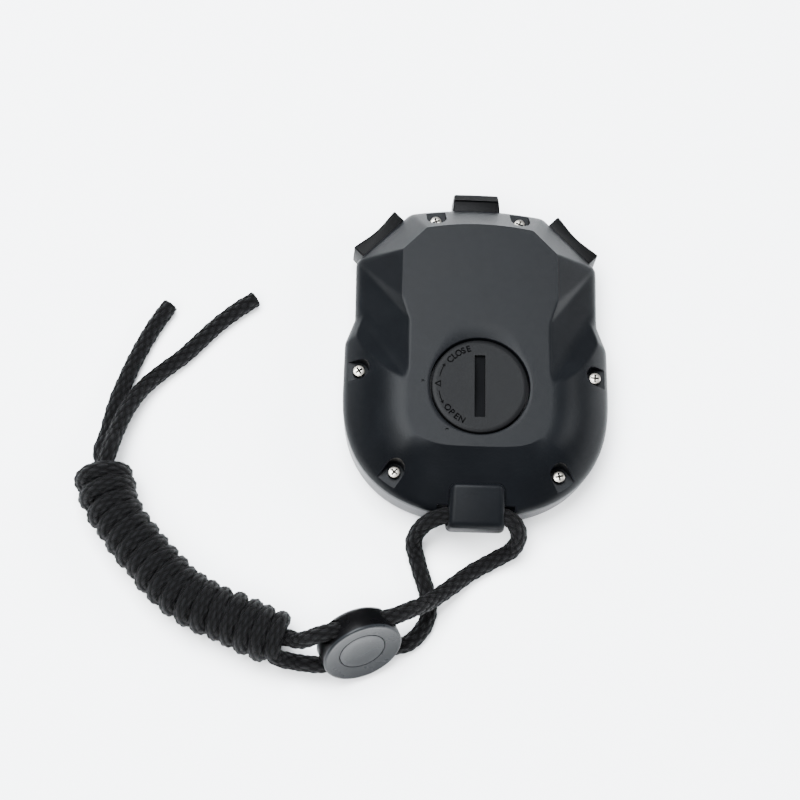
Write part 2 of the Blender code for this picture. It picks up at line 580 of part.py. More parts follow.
def make_stopper():
    barrel = turned("stopper_barrel", STOPPER_FACE, STOPPER_NORMAL,
                    [(STOPPER_R - 1.2, -STOPPER_DEPTH), (STOPPER_R, -STOPPER_DEPTH + 1.2), (STOPPER_R, -0.3),
                     (STOPPER_R - 0.3, 0), (STOPPER_R - 0.7, 0), (6.2, -0.5)], "stopper_plastic", sides=40)
    cut(barrel, turned("button_recess", STOPPER_FACE, STOPPER_NORMAL, [(5.9, -2.3), (5.9, 1)], sides=32),
        turned("plunger_bore", STOPPER_FACE, STOPPER_NORMAL, [(3.9, -6.2), (3.9, 1)], sides=24))
    mouth = BORE_R + 0.5
    bore = [(mouth, -12), (mouth, -6.4), (BORE_R, -4.6), (BORE_R, 4.6), (mouth, 6.4), (mouth, 12)]
    for tag, up in (("upper", BORE_OFFSET), ("lower", -BORE_OFFSET)):
        cut(barrel, turned(f"{tag}_bore", at_stopper(BORE_DEPTH, 0, up), STOPPER_LEVEL, bore, sides=16))
    button = turned("stopper_button", STOPPER_FACE, STOPPER_NORMAL,
                    [(3.6, -4.9), (3.6, -1.05), (5.6, -1.05), (5.6, -0.5), (4.6, -0.75), (2.5, -1.15),
                     (0.6, -1.3)], "stopper_button", sides=32, origin=STOPPER_FACE)
    cut(button, turned("spring_bore", STOPPER_FACE, STOPPER_NORMAL, [(2.6, -6), (2.6, -2.2)], sides=20))
    coil_spring("stopper_spring", at_stopper(5.8), STOPPER_NORMAL, 1.9, 0.25, 4, 3.2, "nickel_steel")


# Routes of the cord, from the loop block outwards
RIGHT_STRAND = [(0.3, -41.0, 12.6), (4.0, -41.0, 12.6), (7.8, -41.2, 12.4), (10.0, -42.7, 11.0),
                (11.0, -44.9, 8.3), (9.7, -47.2, 4.6), (5.2, -49.6, 2.6), (-0.4, -52.9, 2.5),
                (-4.9, -56.6, 4.0), (-9.5, -60.5, 7.0), (-13.0, -63.1, 10.2), (-15.8, -64.7, 12.6)]
LEFT_STRAND = [(-0.3, -41.0, 12.6), (-4.0, -41.0, 12.6), (-7.8, -41.1, 12.4), (-11.0, -42.0, 10.8),
               (-13.6, -43.7, 7.6), (-14.6, -46.2, 4.3), (-13.8, -48.9, 2.4), (-12.6, -53.0, 2.0),
               (-11.1, -57.7, 2.0), (-10.5, -61.5, 2.0), (-10.9, -64.8, 2.0), (-12.6, -68.0, 2.0),
               (-15.6, -70.8, 2.1)]
RIGHT_LINK = [(-38.9, -72.5, 15.9), (-41.4, -72.9, 13.2), (-43.0, -72.4, 10.9), (-44.6, -71.4, 9.4)]
LEFT_LINK = [(-39.6, -77.0, 6.4), (-43.0, -75.4, 5.6), (-45.5, -73.9, 4.9)]
HANK = [(-46.2, -71.8, 6.9), (-53.8, -68.9, 6.9), (-59.4, -66.3, 6.9),
        (-66.1, -63.6, 6.9), (-72.2, -59.6, 6.9), (-79.1, -52.3, 6.9), (-84.7, -45.6, 6.9),
        (-88.8, -39.3, 6.9), (-90.6, -33.3, 6.9), (-90.8, -29.1, 6.9)]
LOW_TAIL = [(-91.8, -28.0, 4.6), (-92.0, -22.5, 2.6), (-90.5, -16.5, 2.0), (-88.6, -11.5, 2.0),
            (-86.7, -7.3, 2.0), (-83.2, 0.2, 2.0), (-79.9, 6.3, 2.0), (-76.6, 14.6, 2.0)]
TOP_TAIL = [(-89.6, -28.0, 9.0), (-89.4, -23.3, 7.6), (-88.0, -17.9, 6.0), (-85.7, -13.1, 4.8),
            (-82.3, -8.8, 2.9), (-77.0, -4.0, 2.0), (-72.2, 0.4, 2.0), (-66.9, 7.7, 2.0),
            (-60.7, 13.2, 2.0), (-55.2, 17.2, 2.0)]


def through_stopper(up):
    """The straight stretch of one strand inside the stopper, right to left."""
    return [at_stopper(BORE_DEPTH, along, up) for along in (9.4, 3.2, -3.2, -8.8)]


def make_lanyard():
    right = RIGHT_STRAND + through_stopper(BORE_OFFSET) + RIGHT_LINK
    left = LEFT_STRAND + through_stopper(-BORE_OFFSET) + LEFT_LINK
    tube("lanyard_right_strand", smooth_route(right, 4.0), CORD_R, "cord_braid")
    tube("lanyard_left_strand", smooth_route(left, 4.0), CORD_R, "cord_braid")
    tube("lanyard_low_tail", smooth_route(LOW_TAIL, 7.5), CORD_R, "cord_braid")
    tube("lanyard_top_tail", smooth_route(TOP_TAIL, 7.5), CORD_R, "cord_braid")
    tube("lanyard_hank", smooth_route(HANK, 7.5), HANK_R, "cord_braid", resolution=4)


clear_scene()
make_case()
make_module()
make_battery_cover()
for button_name, button_out, button_face in button_axes():
    make_button(button_name, button_out, button_face)
make_stopper()
make_lanyard()
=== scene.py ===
"""Electronic stopwatch lying on its face, with a wound lanyard and a cord stopper.

Laid out as an add-on: each operator makes one piece, or one group of like pieces, round the
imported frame. Sizes in the constants are in millimetres, in the frame's own axes: +Z out of the
watch's back, +Y towards the mode button.
"""
import math

import bpy
from bpy.props import FloatProperty, FloatVectorProperty, IntProperty, PointerProperty
from bpy.types import Operator, Panel, PropertyGroup
from mathutils import Matrix, Vector, noise


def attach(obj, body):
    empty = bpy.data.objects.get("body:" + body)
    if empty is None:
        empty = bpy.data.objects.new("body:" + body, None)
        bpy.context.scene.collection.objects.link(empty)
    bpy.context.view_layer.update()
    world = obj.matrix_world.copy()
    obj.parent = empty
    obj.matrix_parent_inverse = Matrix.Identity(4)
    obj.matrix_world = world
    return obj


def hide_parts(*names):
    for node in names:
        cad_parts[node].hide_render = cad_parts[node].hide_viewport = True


bl_info = {"name": "Stopwatch", "version": (1, 0, 0), "blender": (4, 5, 0),
           "location": "View3D > Sidebar > Stopwatch", "category": "Object",
           "description": "Makes the pieces of a stopwatch with a lanyard round its packed frame"}

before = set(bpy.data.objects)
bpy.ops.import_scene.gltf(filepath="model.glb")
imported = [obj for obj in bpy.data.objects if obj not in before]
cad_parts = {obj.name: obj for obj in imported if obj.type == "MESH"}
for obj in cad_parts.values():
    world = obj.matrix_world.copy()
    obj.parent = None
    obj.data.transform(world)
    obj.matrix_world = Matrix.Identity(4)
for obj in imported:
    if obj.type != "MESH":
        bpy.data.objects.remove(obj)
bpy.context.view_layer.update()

MM = 0.001

# Case
COVER_Y = -10.7                 # middle of the battery cover and of the round lower lobe
Z_FRONT_TOP, Z_BACK_BASE, Z_RIM, Z_TOP = 9.5, 9.9, 12.6, 22.5
SIDE_WALL = 2.4
TOP_Y, TOP_CORNER = 39.2, (16.9, 37.7)
SHOULDER = (30.3, 24.3)
WAIST, LOBE_START = (30.3, 9.0), (32.75, 2.6)
LOBE_X, LOBE_Y, LOBE_POWER = 33.0, 30.0, 2.35
FLAT_TOP_Y, FLAT_CORNER = 31.5, (13.25, 30.2)
FLAT_SHOULDER, FLAT_WAIST, FLAT_LOBE = (19.2, 24.2), (19.4, 11.9), (17.5, 6.0)
FLAT_X, FLAT_LOBE_Y, FLAT_POWER = 17.5, 15.4, 4.0
OUTLINE_STEPS = (44, 40, 36, 24, 30, 66)      # points along each stretch of the half outline
SLOPE_RINGS = 64
GRIP_SLOPE, GRIP_SIDE_SLOPE = 0.773, 1.505

SCREWS = {"top_left": (-10.56, 34.6, (0, 1)), "top_right": (10.56, 34.6, (0, 1)),
          "side_left": (-29.3, -5.5, (-1, 0)), "side_right": (29.3, -5.5, (1, 0)),
          "bottom_left": (-20.2, -31.1, (-0.62, -0.78)), "bottom_right": (20.2, -31.1, (0.62, -0.78))}
POCKET_R, POCKET_FLOOR = 2.45, 13.8

# Battery cover
COVER_R, COVER_SEAT_R, COVER_TOP = 11.8, 12.3, 22.3
SEAT_Z, BAY_R, BAY_FLOOR, WELL_BOTTOM, WELL_R = 19.3, 10.4, 15.0, 13.5, 13.9

# Display window, as half width, lower and upper y, with the steps round it
WINDOW, LENS_RECESS, TRIM_RECESS = (22, -8, 14), (24, -10, 16), (27.8, -14.3, 20.3)

# Buttons
SHOULDER_FACE = (TOP_CORNER[0] + TOP_CORNER[1]) / math.sqrt(2)
SIDE_BUTTON_ALONG = 5.4
BUTTON_SIZES = {"mode": (12.0, 2.6, 11.6, 5.2), "left": (14.4, 2.2, 11.6, 3.5),
                "right": (14.4, 2.2, 11.6, 3.5)}      # width, lower and upper height, stand-out
POCKET_DEPTH, TRAVEL, GAP = 1.9, 1.2, 0.3
BUTTON_Z, STEM_R = 7.0, 1.2
INNER_SHOULDER, INNER_TOP_Y = 33.8, 32.4      # inside faces of the wall, where the clips sit

# Loop block, cord stopper and cord
LOOP_HALF_X, LOOP_END_Y, LOOP_LIP_Z = 7.0, -44.4, 8.4
LOOP_TOP_Z = (18.5, 14.8)       # at the case and at the outer end
CHANNEL_Y, CHANNEL_Z, CHANNEL_R = -41.0, 12.6, 2.2
STOPPER_FACE = (-26.8, -75.3, 11.5)
STOPPER_NORMAL = Vector((0.345, -0.848, 0.4025)).normalized()
STOPPER_LEVEL = Vector((0.938, 0.296, -0.181)).normalized()
STOPPER_R, STOPPER_DEPTH = 9.95, 7.0
BORE_DEPTH, BORE_OFFSET, BORE_R = 4.0, 6.2, 2.2

RIGHT_STRAND = [(0.3, -41.0, 12.6), (4.0, -41.0, 12.6), (7.8, -41.2, 12.4), (10.0, -42.7, 11.0),
                (11.0, -44.9, 8.3), (9.7, -47.2, 4.6), (5.2, -49.6, 2.6), (-0.4, -52.9, 2.5),
                (-4.9, -56.6, 4.0), (-9.5, -60.5, 7.0), (-13.0, -63.1, 10.2), (-15.8, -64.7, 12.6)]
LEFT_STRAND = [(-0.3, -41.0, 12.6), (-4.0, -41.0, 12.6), (-7.8, -41.1, 12.4), (-11.0, -42.0, 10.8),
               (-13.6, -43.7, 7.6), (-14.6, -46.2, 4.3), (-13.8, -48.9, 2.5), (-12.6, -53.0, 2.15),
               (-11.1, -57.7, 2.15), (-10.5, -61.5, 2.15), (-10.9, -64.8, 2.15), (-12.6, -68.0, 2.15),
               (-15.6, -70.8, 2.2)]
RIGHT_LINK = [(-38.9, -72.5, 15.9), (-41.4, -72.9, 13.2), (-43.0, -72.4, 10.9), (-44.9, -71.6, 9.4),
              (-47.6, -71.0, 8.0)]
LEFT_LINK = [(-39.6, -77.2, 6.2), (-43.2, -76.6, 5.2)]
HANK = [(-46.2, -71.8, 6.9), (-53.8, -68.9, 6.9), (-59.4, -66.3, 6.9),
        (-66.1, -63.6, 6.9), (-72.2, -59.6, 6.9), (-79.1, -52.3, 6.9), (-84.7, -45.6, 6.9),
        (-88.8, -39.3, 6.9), (-90.6, -33.3, 6.9), (-90.8, -29.1, 6.9)]
LOW_TAIL = [(-92.3, -25.6, 2.9), (-91.1, -20.3, 2.2), (-89.3, -12.1, 2.15),
            (-86.9, -5.1, 2.15), (-83.9, 2.1, 2.15), (-80.9, 8.1, 2.15), (-78.3, 12.4, 2.15),
            (-76.8, 14.7, 2.15)]
TOP_TAIL = [(-89.6, -24.6, 7.8), (-88.4, -20.0, 6.5), (-86.2, -14.2, 5.4),
            (-82.8, -8.3, 3.6), (-78.1, -3.3, 2.4), (-73.3, 0.8, 2.15), (-69.3, 4.9, 2.15),
            (-65.0, 9.4, 2.15), (-60.2, 13.6, 2.15), (-55.3, 17.1, 2.15)]
WRAP_R, WRAP_TURNS = 4.75, 16.89
WRAP_START = -30                # degrees round the hank, from its outer side
CORD_SIDES, CORD_STEP = 36, 0.36
STITCH, STITCHES_ROUND = 1.75, 8


# ---------------------------------------------------------------- settings

def colour_prop(name, default, description):
    return FloatVectorProperty(name=name, description=description, default=default, size=3,
                               min=0, max=1, subtype='COLOR')


class StopwatchFinishes(PropertyGroup):
    """Colours of the mouldings and of the cord."""
    case: colour_prop("Case", (0.0020, 0.0023, 0.0028), "Colour of the moulded case halves")
    cover: colour_prop("Cover", (0.0015, 0.0016, 0.0018), "Colour of the battery cover")
    buttons: colour_prop("Buttons", (0.0013, 0.0013, 0.0014), "Colour of the three push buttons")
    stopper: colour_prop("Stopper", (0.0007, 0.0007, 0.0008), "Colour of the cord stopper's barrel")
    # this button colour is also painted on the drum's front face and rim as a painted highlight
    dish: colour_prop("Stopper button", (0.007, 0.0078, 0.0088), "Colour of the cord stopper's button")
    cord: colour_prop("Cord", (0.0009, 0.0009, 0.001), "Colour of the braided cord")
    nickel: colour_prop("Screws", (0.30, 0.28, 0.25), "Colour of the plated screws")


class StopwatchSizes(PropertyGroup):
    """Sizes that change how the pieces look without moving them."""
    cord_diameter: FloatProperty(name="Cord diameter", default=0.0041, min=0.003, max=0.0044,
                                 subtype='DISTANCE', unit='LENGTH',
                                 description="Diameter of the braided cord")
    braid_relief: FloatProperty(name="Braid relief", default=0.00044, min=0, max=0.0006,
                                subtype='DISTANCE', unit='LENGTH',
                                description="How proud each braid stitch stands")
    lettering: FloatProperty(name="Lettering", default=0.0015, min=0.001, max=0.0022,
                             subtype='DISTANCE', unit='LENGTH', description="Height of the cover's letters")
    cover_sides: IntProperty(name="Cover sides", default=128, min=48, max=256,
                             description="Number of sides of the battery cover's edge")


# ---------------------------------------------------------------- mesh helpers

def only(item):
    """Make one object the active and only selected one."""
    bpy.ops.object.select_all(action='DESELECT')
    item.select_set(True)
    bpy.context.view_layer.objects.active = item
    return item


def rename(item, name):
    item.name = name
    item.data.name = name
    return item


def settle(item):
    """Apply an object's place so that it sits at the origin."""
    only(item)
    bpy.ops.object.transform_apply(location=True, rotation=True, scale=True)
    return item


def closed_up(item):
    """Merge doubles and point every face outwards."""
    only(item)
    bpy.ops.object.mode_set(mode='EDIT')
    bpy.ops.mesh.select_all(action='SELECT')
    bpy.ops.mesh.remove_doubles(threshold=1e-6)
    bpy.ops.mesh.normals_make_consistent(inside=False)
    bpy.ops.object.mode_set(mode='OBJECT')
    return item


def add_modifier(item, kind, **settings):
    """Add a modifier, set it up and apply it."""
    only(item)
    change = item.modifiers.new(kind.title(), kind)
    for key, value in settings.items():
        setattr(change, key, value)
    bpy.ops.object.modifier_apply(modifier=change.name)
    return item


def bevelled(item, width, segments=3, angle=35):
    return add_modifier(item, 'BEVEL', width=width * MM, segments=segments, limit_method='ANGLE',
                        angle_limit=math.radians(angle), harden_normals=False)


def combined(item, other, operation='DIFFERENCE'):
    """Cut, join or intersect with another object, which is used up."""
    add_modifier(item, 'BOOLEAN', operation=operation, solver='EXACT', object=other)
    bpy.data.objects.remove(other, do_unlink=True)
    return item


def merged(items):
    """Join objects into the first one, without a boolean."""
    bpy.ops.object.select_all(action='DESELECT')
    for item in items:
        item.select_set(True)
    bpy.context.view_layer.objects.active = items[0]
    if len(items) > 1:
        bpy.ops.object.join()
    return items[0]


def from_points(name, points, faces, edges=()):
    """An object from points in mm."""
    mesh = bpy.data.meshes.new(name)
    mesh.from_pydata([Vector(p) * MM for p in points], list(edges), faces)
    item = bpy.data.objects.new(name, mesh)
    bpy.context.collection.objects.link(item)
    return item


def lofted(name, rings, capped=True):
    """Bridge rings of equally many points; the two ends are capped or left open."""
    count = len(rings[0])
    points = [p for ring in rings for p in ring]
    faces = []
    for k in range(len(rings) - 1):
        low, high = k * count, (k + 1) * count
        faces += [(low + i, low + (i + 1) % count, high + (i + 1) % count, high + i) for i in range(count)]
    if capped:
        faces += [tuple(range(count)), tuple(range(len(points) - count, len(points)))]
    return closed_up(from_points(name, points, faces))


def slab(name, outline, z0, z1):
    return lofted(name, [[(x, y, z) for x, y in outline] for z in (z0, z1)])


def block(name, low, high, bevel=0.0, segments=3):
    """A cube added at its size and place, with rounded edges."""
    centre = [(a + b) / 2 * MM for a, b in zip(low, high)]
    bpy.ops.object.select_all(action='DESELECT')
    bpy.ops.mesh.primitive_cube_add(size=1, location=centre)
    item = rename(bpy.context.active_object, name)
    item.scale = [(b - a) * MM for a, b in zip(low, high)]
    settle(item)
    return bevelled(item, bevel, segments) if bevel else item


def frame_along(axis):
    axis = Vector(axis).normalized()
    first = Vector((0, 0, 1)).cross(axis)
    first = first.normalized() if first.length > 1e-6 else Vector((1, 0, 0))
    return first, axis.cross(first)


def spun(name, centre, axis, profile, steps=64):
    """A profile of (radius, height) spun round an axis; its ends are closed where they leave it."""
    axis, centre = Vector(axis).normalized(), Vector(centre)
    first, _ = frame_along(axis)
    points = [centre + axis * h + first * r for r, h in profile]
    item = from_points(name, points, [], [(k, k + 1) for k in range(len(points) - 1)])
    only(item)
    bpy.ops.object.mode_set(mode='EDIT')
    bpy.ops.mesh.select_all(action='SELECT')
    bpy.ops.mesh.spin(steps=steps, angle=math.tau, center=centre * MM, axis=axis)
    bpy.ops.mesh.select_all(action='SELECT')
    bpy.ops.mesh.remove_doubles(threshold=1e-6)
    bpy.ops.mesh.select_all(action='DESELECT')
    bpy.ops.mesh.select_mode(type='EDGE')
    bpy.ops.mesh.select_non_manifold()
    bpy.ops.mesh.edge_face_add()
    bpy.ops.mesh.select_mode(type='VERT')
    bpy.ops.object.mode_set(mode='OBJECT')
    return closed_up(item)


def rod(name, centre, axis, radius, low, high, steps=32):
    return spun(name, centre, axis, [(radius, low), (radius, high)], steps)


def finished(item, name, body, look, nodes=(), angle=30):
    """Last steps of a piece: name, shading, material, and what it rides on and stands for."""
    rename(item, name)
    settle(item)
    item.data.materials.clear()
    item.data.materials.append(look)
    for face in item.data.polygons:
        face.material_index = 0
    only(item)
    if angle:
        bpy.ops.object.shade_smooth_by_angle(angle=math.radians(angle))
    else:
        bpy.ops.object.shade_smooth()
    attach(item, body)
    if nodes:
        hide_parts(*nodes)
    return item


def smooth_min(a, b, radius):
    h = max(radius - abs(a - b), 0) / radius if radius > 0 else 0
    return min(a, b) - h * h * radius / 4


def smooth_max(a, b, radius):
    return -smooth_min(-a, -b, radius)


def smoothstep(low, high, x):
    t = min(max((x - low) / (high - low), 0), 1)
    return t * t * (3 - 2 * t)


# ---------------------------------------------------------------- shader helpers

class Value:
    """A node socket that can be used in sums."""

    def __init__(self, tree, socket):
        self.tree, self.socket = tree, socket

    def math(self, operation, *others):
        values = dict(enumerate([self, *others]))
        return self.tree.new("ShaderNodeMath", {"operation": operation}, values)["Value"]

    def __add__(self, other):
        return self.math('ADD', other)

    def __sub__(self, other):
        return self.math('SUBTRACT', other)

    def __mul__(self, other):
        return self.math('MULTIPLY', other)

    def __mod__(self, other):
        return self.math('FLOORED_MODULO', other)

    def __gt__(self, other):
        return self.math('GREATER_THAN', other)

    def __lt__(self, other):
        return self.math('LESS_THAN', other)

    def __abs__(self):
        return self.math('ABSOLUTE')

    __radd__, __rmul__ = __add__, __mul__


class Finish:
    """One node material with a Principled shader."""

    def __init__(self, name, **constants):
        self.made = bpy.data.materials.new(name)
        self.made.use_nodes = True
        self.nodes = self.made.node_tree.nodes
        self.shader = self.nodes["Principled BSDF"]
        for key, value in constants.items():
            self.shader.inputs[key.replace("_", " ")].default_value = value

    def new(self, kind, settings=None, inputs=None):
        """Add a node: its settings first, then values or links for its sockets."""
        node = self.nodes.new(kind)
        for key, value in (settings or {}).items():
            setattr(node, key, value)
        for key, value in (inputs or {}).items():
            self.link(node.inputs[key], value)
        outputs = {}
        for socket in node.outputs:
            if socket.enabled:
                outputs[socket.name] = Value(self, socket)
        return outputs

    def link(self, socket, value):
        if isinstance(value, Value):
            self.made.node_tree.links.new(value.socket, socket)
        else:
            socket.default_value = value

    def feed(self, name, value):
        self.link(self.shader.inputs[name], value)

    def place(self):
        return self.new("ShaderNodeTexCoord")["Object"]

    def noise(self, scale, detail=3.0, rough=0.55):
        """Noise on object coordinates; scale is in cycles per metre."""
        return self.new("ShaderNodeTexNoise", {"noise_dimensions": '3D'},
                        {"Vector": self.place(), "Scale": scale, "Detail": detail,
                         "Roughness": rough})["Fac"]

    def cells(self, scale):
        return self.new("ShaderNodeTexVoronoi", {"feature": 'F1'},
                        {"Vector": self.place(), "Scale": scale})["Distance"]

    def between(self, value, low, high, to_low=0.0, to_high=1.0):
        return self.new("ShaderNodeMapRange", {"interpolation_type": 'SMOOTHSTEP'},
                        {"Value": value, "From Min": low, "From Max": high, "To Min": to_low,
                         "To Max": to_high})["Result"]

    def blend(self, share, first, second):
        """Mix two colours."""
        inputs = {0: share, 6: (*first, 1) if isinstance(first, tuple) else first,
                  7: (*second, 1) if isinstance(second, tuple) else second}
        node = self.new("ShaderNodeMix", {"data_type": 'RGBA'}, inputs)
        return node["Result"]

    def bump(self, height, distance, strength=1.0, under=None):
        """Raise the surface by a height in parts of a distance in metres."""
        inputs = {"Height": height, "Distance": distance, "Strength": strength}
        if under:
            inputs["Normal"] = under
        return self.new("ShaderNodeBump", {}, inputs)["Normal"]

    def separate(self, vector):
        return self.new("ShaderNodeSeparateXYZ", {}, {0: vector})


def moulded(name, colour, roughness=0.42, grain=0.00002, level=0.04, worn=0.25, matt_under=None):
    """Moulded plastic: fine spark-eroded grain, a slow change of sheen, faint handling marks.

    Below the height matt_under, in metres, it is dead matt, as in a slot."""
    look = Finish(name, Specular_IOR_Level=level, Coat_Roughness=0.2)
    colour = tuple(colour)
    fine = look.noise(9000, 2.0, 0.5)
    slow = look.noise(90, 3.0, 0.5)
    marks = look.between(look.noise(600, 6.0, 0.7), 0.55, 0.75)
    dust = look.between(look.cells(700), 0.10, 0.04)
    lighter = tuple(min(1.0, c * (1 + worn)) for c in colour)
    base = look.blend(look.between(slow, 0.3, 0.7), colour, lighter)
    base = look.blend(dust * 0.35, base, tuple(c * 1.6 + 0.004 for c in colour))
    look.feed("Base Color", base)
    sheen = slow * 0.10 + (roughness - 0.05) + marks * 0.05 + (fine - 0.5) * 0.05
    if matt_under:
        sheen = sheen + (look.separate(look.place())["Z"] < matt_under) * 0.6
    look.feed("Roughness", sheen)
    look.feed("Normal", look.bump(fine, grain, 0.6, look.bump(look.noise(260, 2.0, 0.5), 0.00006, 0.35)))
    return look.made


def stopper_plastic(name, side, face):
    """Moulded plastic for the stopper's drum: dark side wall, glossier front painted greyer as a painted
    highlight.
    """
    look = Finish(name, Specular_IOR_Level=0.1)
    place = look.separate(look.place())
    normal, start = STOPPER_NORMAL, (STOPPER_NORMAL.dot(Vector(STOPPER_FACE)) - 0.72) * MM
    height = place["X"] * normal.x + place["Y"] * normal.y + place["Z"] * normal.z
    # painted highlight: the drum's front face and rim, above a depth along its axis, take the lighter face
    # colour
    front = look.between(height, start, start + 0.2 * MM)
    slow = look.noise(200, 3.0, 0.5)
    shade = look.blend(look.between(slow, 0.3, 0.7), tuple(side), tuple(c * 1.4 for c in side))
    look.feed("Base Color", look.blend(front, shade, tuple(face)))
    look.feed("Roughness", slow * 0.08 + 0.24)
    look.feed("Normal", look.bump(look.noise(9000, 2.0, 0.5), 0.00001, 0.5))
    return look.made


def plated(name, colour, roughness=0.22, painted_shade_under=None):
    """Plated or bare metal with fine turning marks and dulled patches; painted shade, nearly black, under a
    height in metres.
    """
    look = Finish(name, Metallic=1.0)
    patches = look.noise(1500, 4.0, 0.6)
    colour = tuple(colour)
    base = look.blend(look.between(patches, 0.4, 0.7), colour, tuple(c * 0.72 for c in colour))
    # painted shade: nearly black below a height, as in the screws' cross recess
    if painted_shade_under:
        recess_painted_shade = look.separate(look.place())["Z"] < painted_shade_under
        base = look.blend(recess_painted_shade, base, tuple(c * 0.02 for c in colour))
    look.feed("Base Color", base)
    look.feed("Roughness", patches * 0.25 + roughness - 0.08)
    look.feed("Normal", look.bump(look.noise(12000, 3.0, 0.6), 0.00001, 0.5))
    return look.made


def rubber(name, colour=(0.008, 0.008, 0.008)):
    look = Finish(name, Specular_IOR_Level=0.3)
    spots = look.noise(2500, 4.0, 0.6)
    look.feed("Base Color", look.blend(spots, colour, tuple(c * 1.8 for c in colour)))
    look.feed("Roughness", spots * 0.15 + 0.68)
    look.feed("Normal", look.bump(spots, 0.00003, 0.6))
    return look.made


def braid(name, colour):
    """Braided cord on its own UV map: u and v count stitches round and along it; crowns carry a painted
    highlight, hollows a painted shade.
    """
    look = Finish(name, Specular_IOR_Level=0.08)
    colour = tuple(colour)
    parts = look.separate(look.new("ShaderNodeTexCoord")["UV"])
    u, v = parts["X"], parts["Y"]
    a, b = (u + v) % 1.0, (u - v) % 1.0
    odd = ((u + v).math('FLOOR') + (u - v).math('FLOOR')) % 2.0
    pillow = (a * math.pi).math('SINE') * (b * math.pi).math('SINE')
    across = a + (b - a) * odd
    threads = abs((across * (math.pi * 4)).math('SINE'))
    fuzz = look.noise(9000, 3.0, 0.65)
    height = pillow * 0.6 + threads * 0.28 + fuzz * 0.3
    # painted highlight on the stitch crowns and painted shade in the hollows: colour follows the stitch
    # height
    light = look.between(height, 0.35, 1.05)
    look.feed("Base Color", look.blend(light, tuple(c * 0.3 for c in colour), tuple(c * 4.0 for c in colour)))
    look.feed("Roughness", fuzz * 0.2 + 0.5)
    look.feed("Normal", look.bump(height, 0.0005, 1.0))
    return look.made


def display_glass(name):
    """Grey-green reflective display with a faint haze."""
    look = Finish(name, Specular_IOR_Level=0.5)
    haze = look.noise(300, 3.0, 0.5)
    look.feed("Base Color", look.blend(haze, (0.20, 0.235, 0.18), (0.27, 0.31, 0.25)))
    look.feed("Roughness", haze * 0.1 + 0.2)
    look.feed("Normal", look.bump(look.noise(5000, 2.0, 0.5), 0.000005, 0.3))
    return look.made


def window_plastic(name):
    """Clear acrylic with faint hairline scratches."""
    look = Finish(name, Transmission_Weight=1.0, IOR=1.49)
    hair = look.between(look.noise(1200, 5.0, 0.8), 0.6, 0.8)
    look.feed("Base Color", look.blend(hair, (0.96, 0.98, 0.97), (0.90, 0.93, 0.92)))
    look.feed("Roughness", hair * 0.05 + 0.02)
    return look.made


def laminate(name):
    """Circuit board: green solder mask over faint copper tracks."""
    look = Finish(name, Specular_IOR_Level=0.5)
    place = look.separate(look.place())
    lanes = abs(((place["X"] + place["Y"]) * 2600).math('SINE')) > 0.86
    weave = look.noise(6000, 2.0, 0.5)
    base = look.blend(weave, (0.010, 0.075, 0.030), (0.016, 0.11, 0.045))
    look.feed("Base Color", look.blend(lanes * 0.6, base, (0.03, 0.19, 0.08)))
    look.feed("Roughness", weave * 0.2 + 0.25)
    look.feed("Normal", look.bump(lanes, 0.00004, 0.6))
    return look.made


# ---------------------------------------------------------------- outlines

def stretch(a, b, count):
    return [(a[0] + (b[0] - a[0]) * t / count, a[1] + (b[1] - a[1]) * t / count) for t in range(count)]


def arc_rise(half_width, rise, x):
    radius = (half_width ** 2 + rise ** 2) / (2 * rise)
    return radius - math.sqrt(max(radius ** 2 - x ** 2, 0))


def crown(top_y, corner, count):
    return [(corner[0] * t / count, top_y - arc_rise(corner[0], top_y - corner[1], corner[0] * t / count))
            for t in range(count)]


def lobe(half_x, half_y, power, count):
    points = []
    for step in range(count + 1):
        a = math.pi / 2 * step / count
        across, down = max(math.cos(a), 0) ** (2 / power), math.sin(a) ** (2 / power)
        points.append((half_x * across, COVER_Y - half_y * down))
    points[-1] = (0.0, COVER_Y - half_y)
    return points


def closed_outline(half, reach):
    """Mirror a right half that runs from the top to the bottom, and round its corners."""
    loop = half + [(-x, y) for x, y in half[-2:0:-1]]
    count = len(loop)
    weights = [math.exp(-(k / reach) ** 2 * 2) for k in range(-2 * reach, 2 * reach + 1)] if reach else [1]
    total, side = sum(weights), len(weights) // 2
    rounded = []
    for i in range(count):
        near = [loop[(i + k) % count] for k in range(-side, side + 1)]
        rounded.append((sum(w * p[0] for w, p in zip(weights, near)) / total,
                        sum(w * p[1] for w, p in zip(weights, near)) / total))
    return rounded


def case_outline():
    n = OUTLINE_STEPS
    half = (crown(TOP_Y, TOP_CORNER, n[0]) + stretch(TOP_CORNER, SHOULDER, n[1])
            + stretch(SHOULDER, WAIST, n[2]) + stretch(WAIST, LOBE_START, n[3])
            + stretch(LOBE_START, (LOBE_X, COVER_Y), n[4])
            + lobe(LOBE_X, LOBE_Y, LOBE_POWER, n[5]))
    return closed_outline(half, 3)


def flat_outline():
    n = OUTLINE_STEPS
    half = (crown(FLAT_TOP_Y, FLAT_CORNER, n[0]) + stretch(FLAT_CORNER, FLAT_SHOULDER, n[1])
            + stretch(FLAT_SHOULDER, FLAT_WAIST, n[2]) + stretch(FLAT_WAIST, FLAT_LOBE, n[3])
            + stretch(FLAT_LOBE, (FLAT_X, COVER_Y), n[4]) + lobe(FLAT_X, FLAT_LOBE_Y, FLAT_POWER, n[5]))
    return closed_outline(half, 2)


def inset(outline, distance):
    """Move a clockwise outline inwards by a distance, square to its edges."""
    moved, count = [], len(outline)
    for k in range(count):
        before, after = Vector(outline[k - 1]), Vector(outline[(k + 1) % count])
        along = (after - before).normalized()
        moved.append(tuple(Vector(outline[k]) + Vector((along.y, -along.x)) * distance))
    return moved


def at_height(outline, z):
    return [(x, y, z) for x, y in outline]


def circle_outline(radius, outline):
    """A circle round the cover's axis with one point for each point of an outline."""
    points = []
    for x, y in outline:
        away = Vector((x, y - COVER_Y)).normalized() * radius
        points.append((away.x, COVER_Y + away.y))
    return points


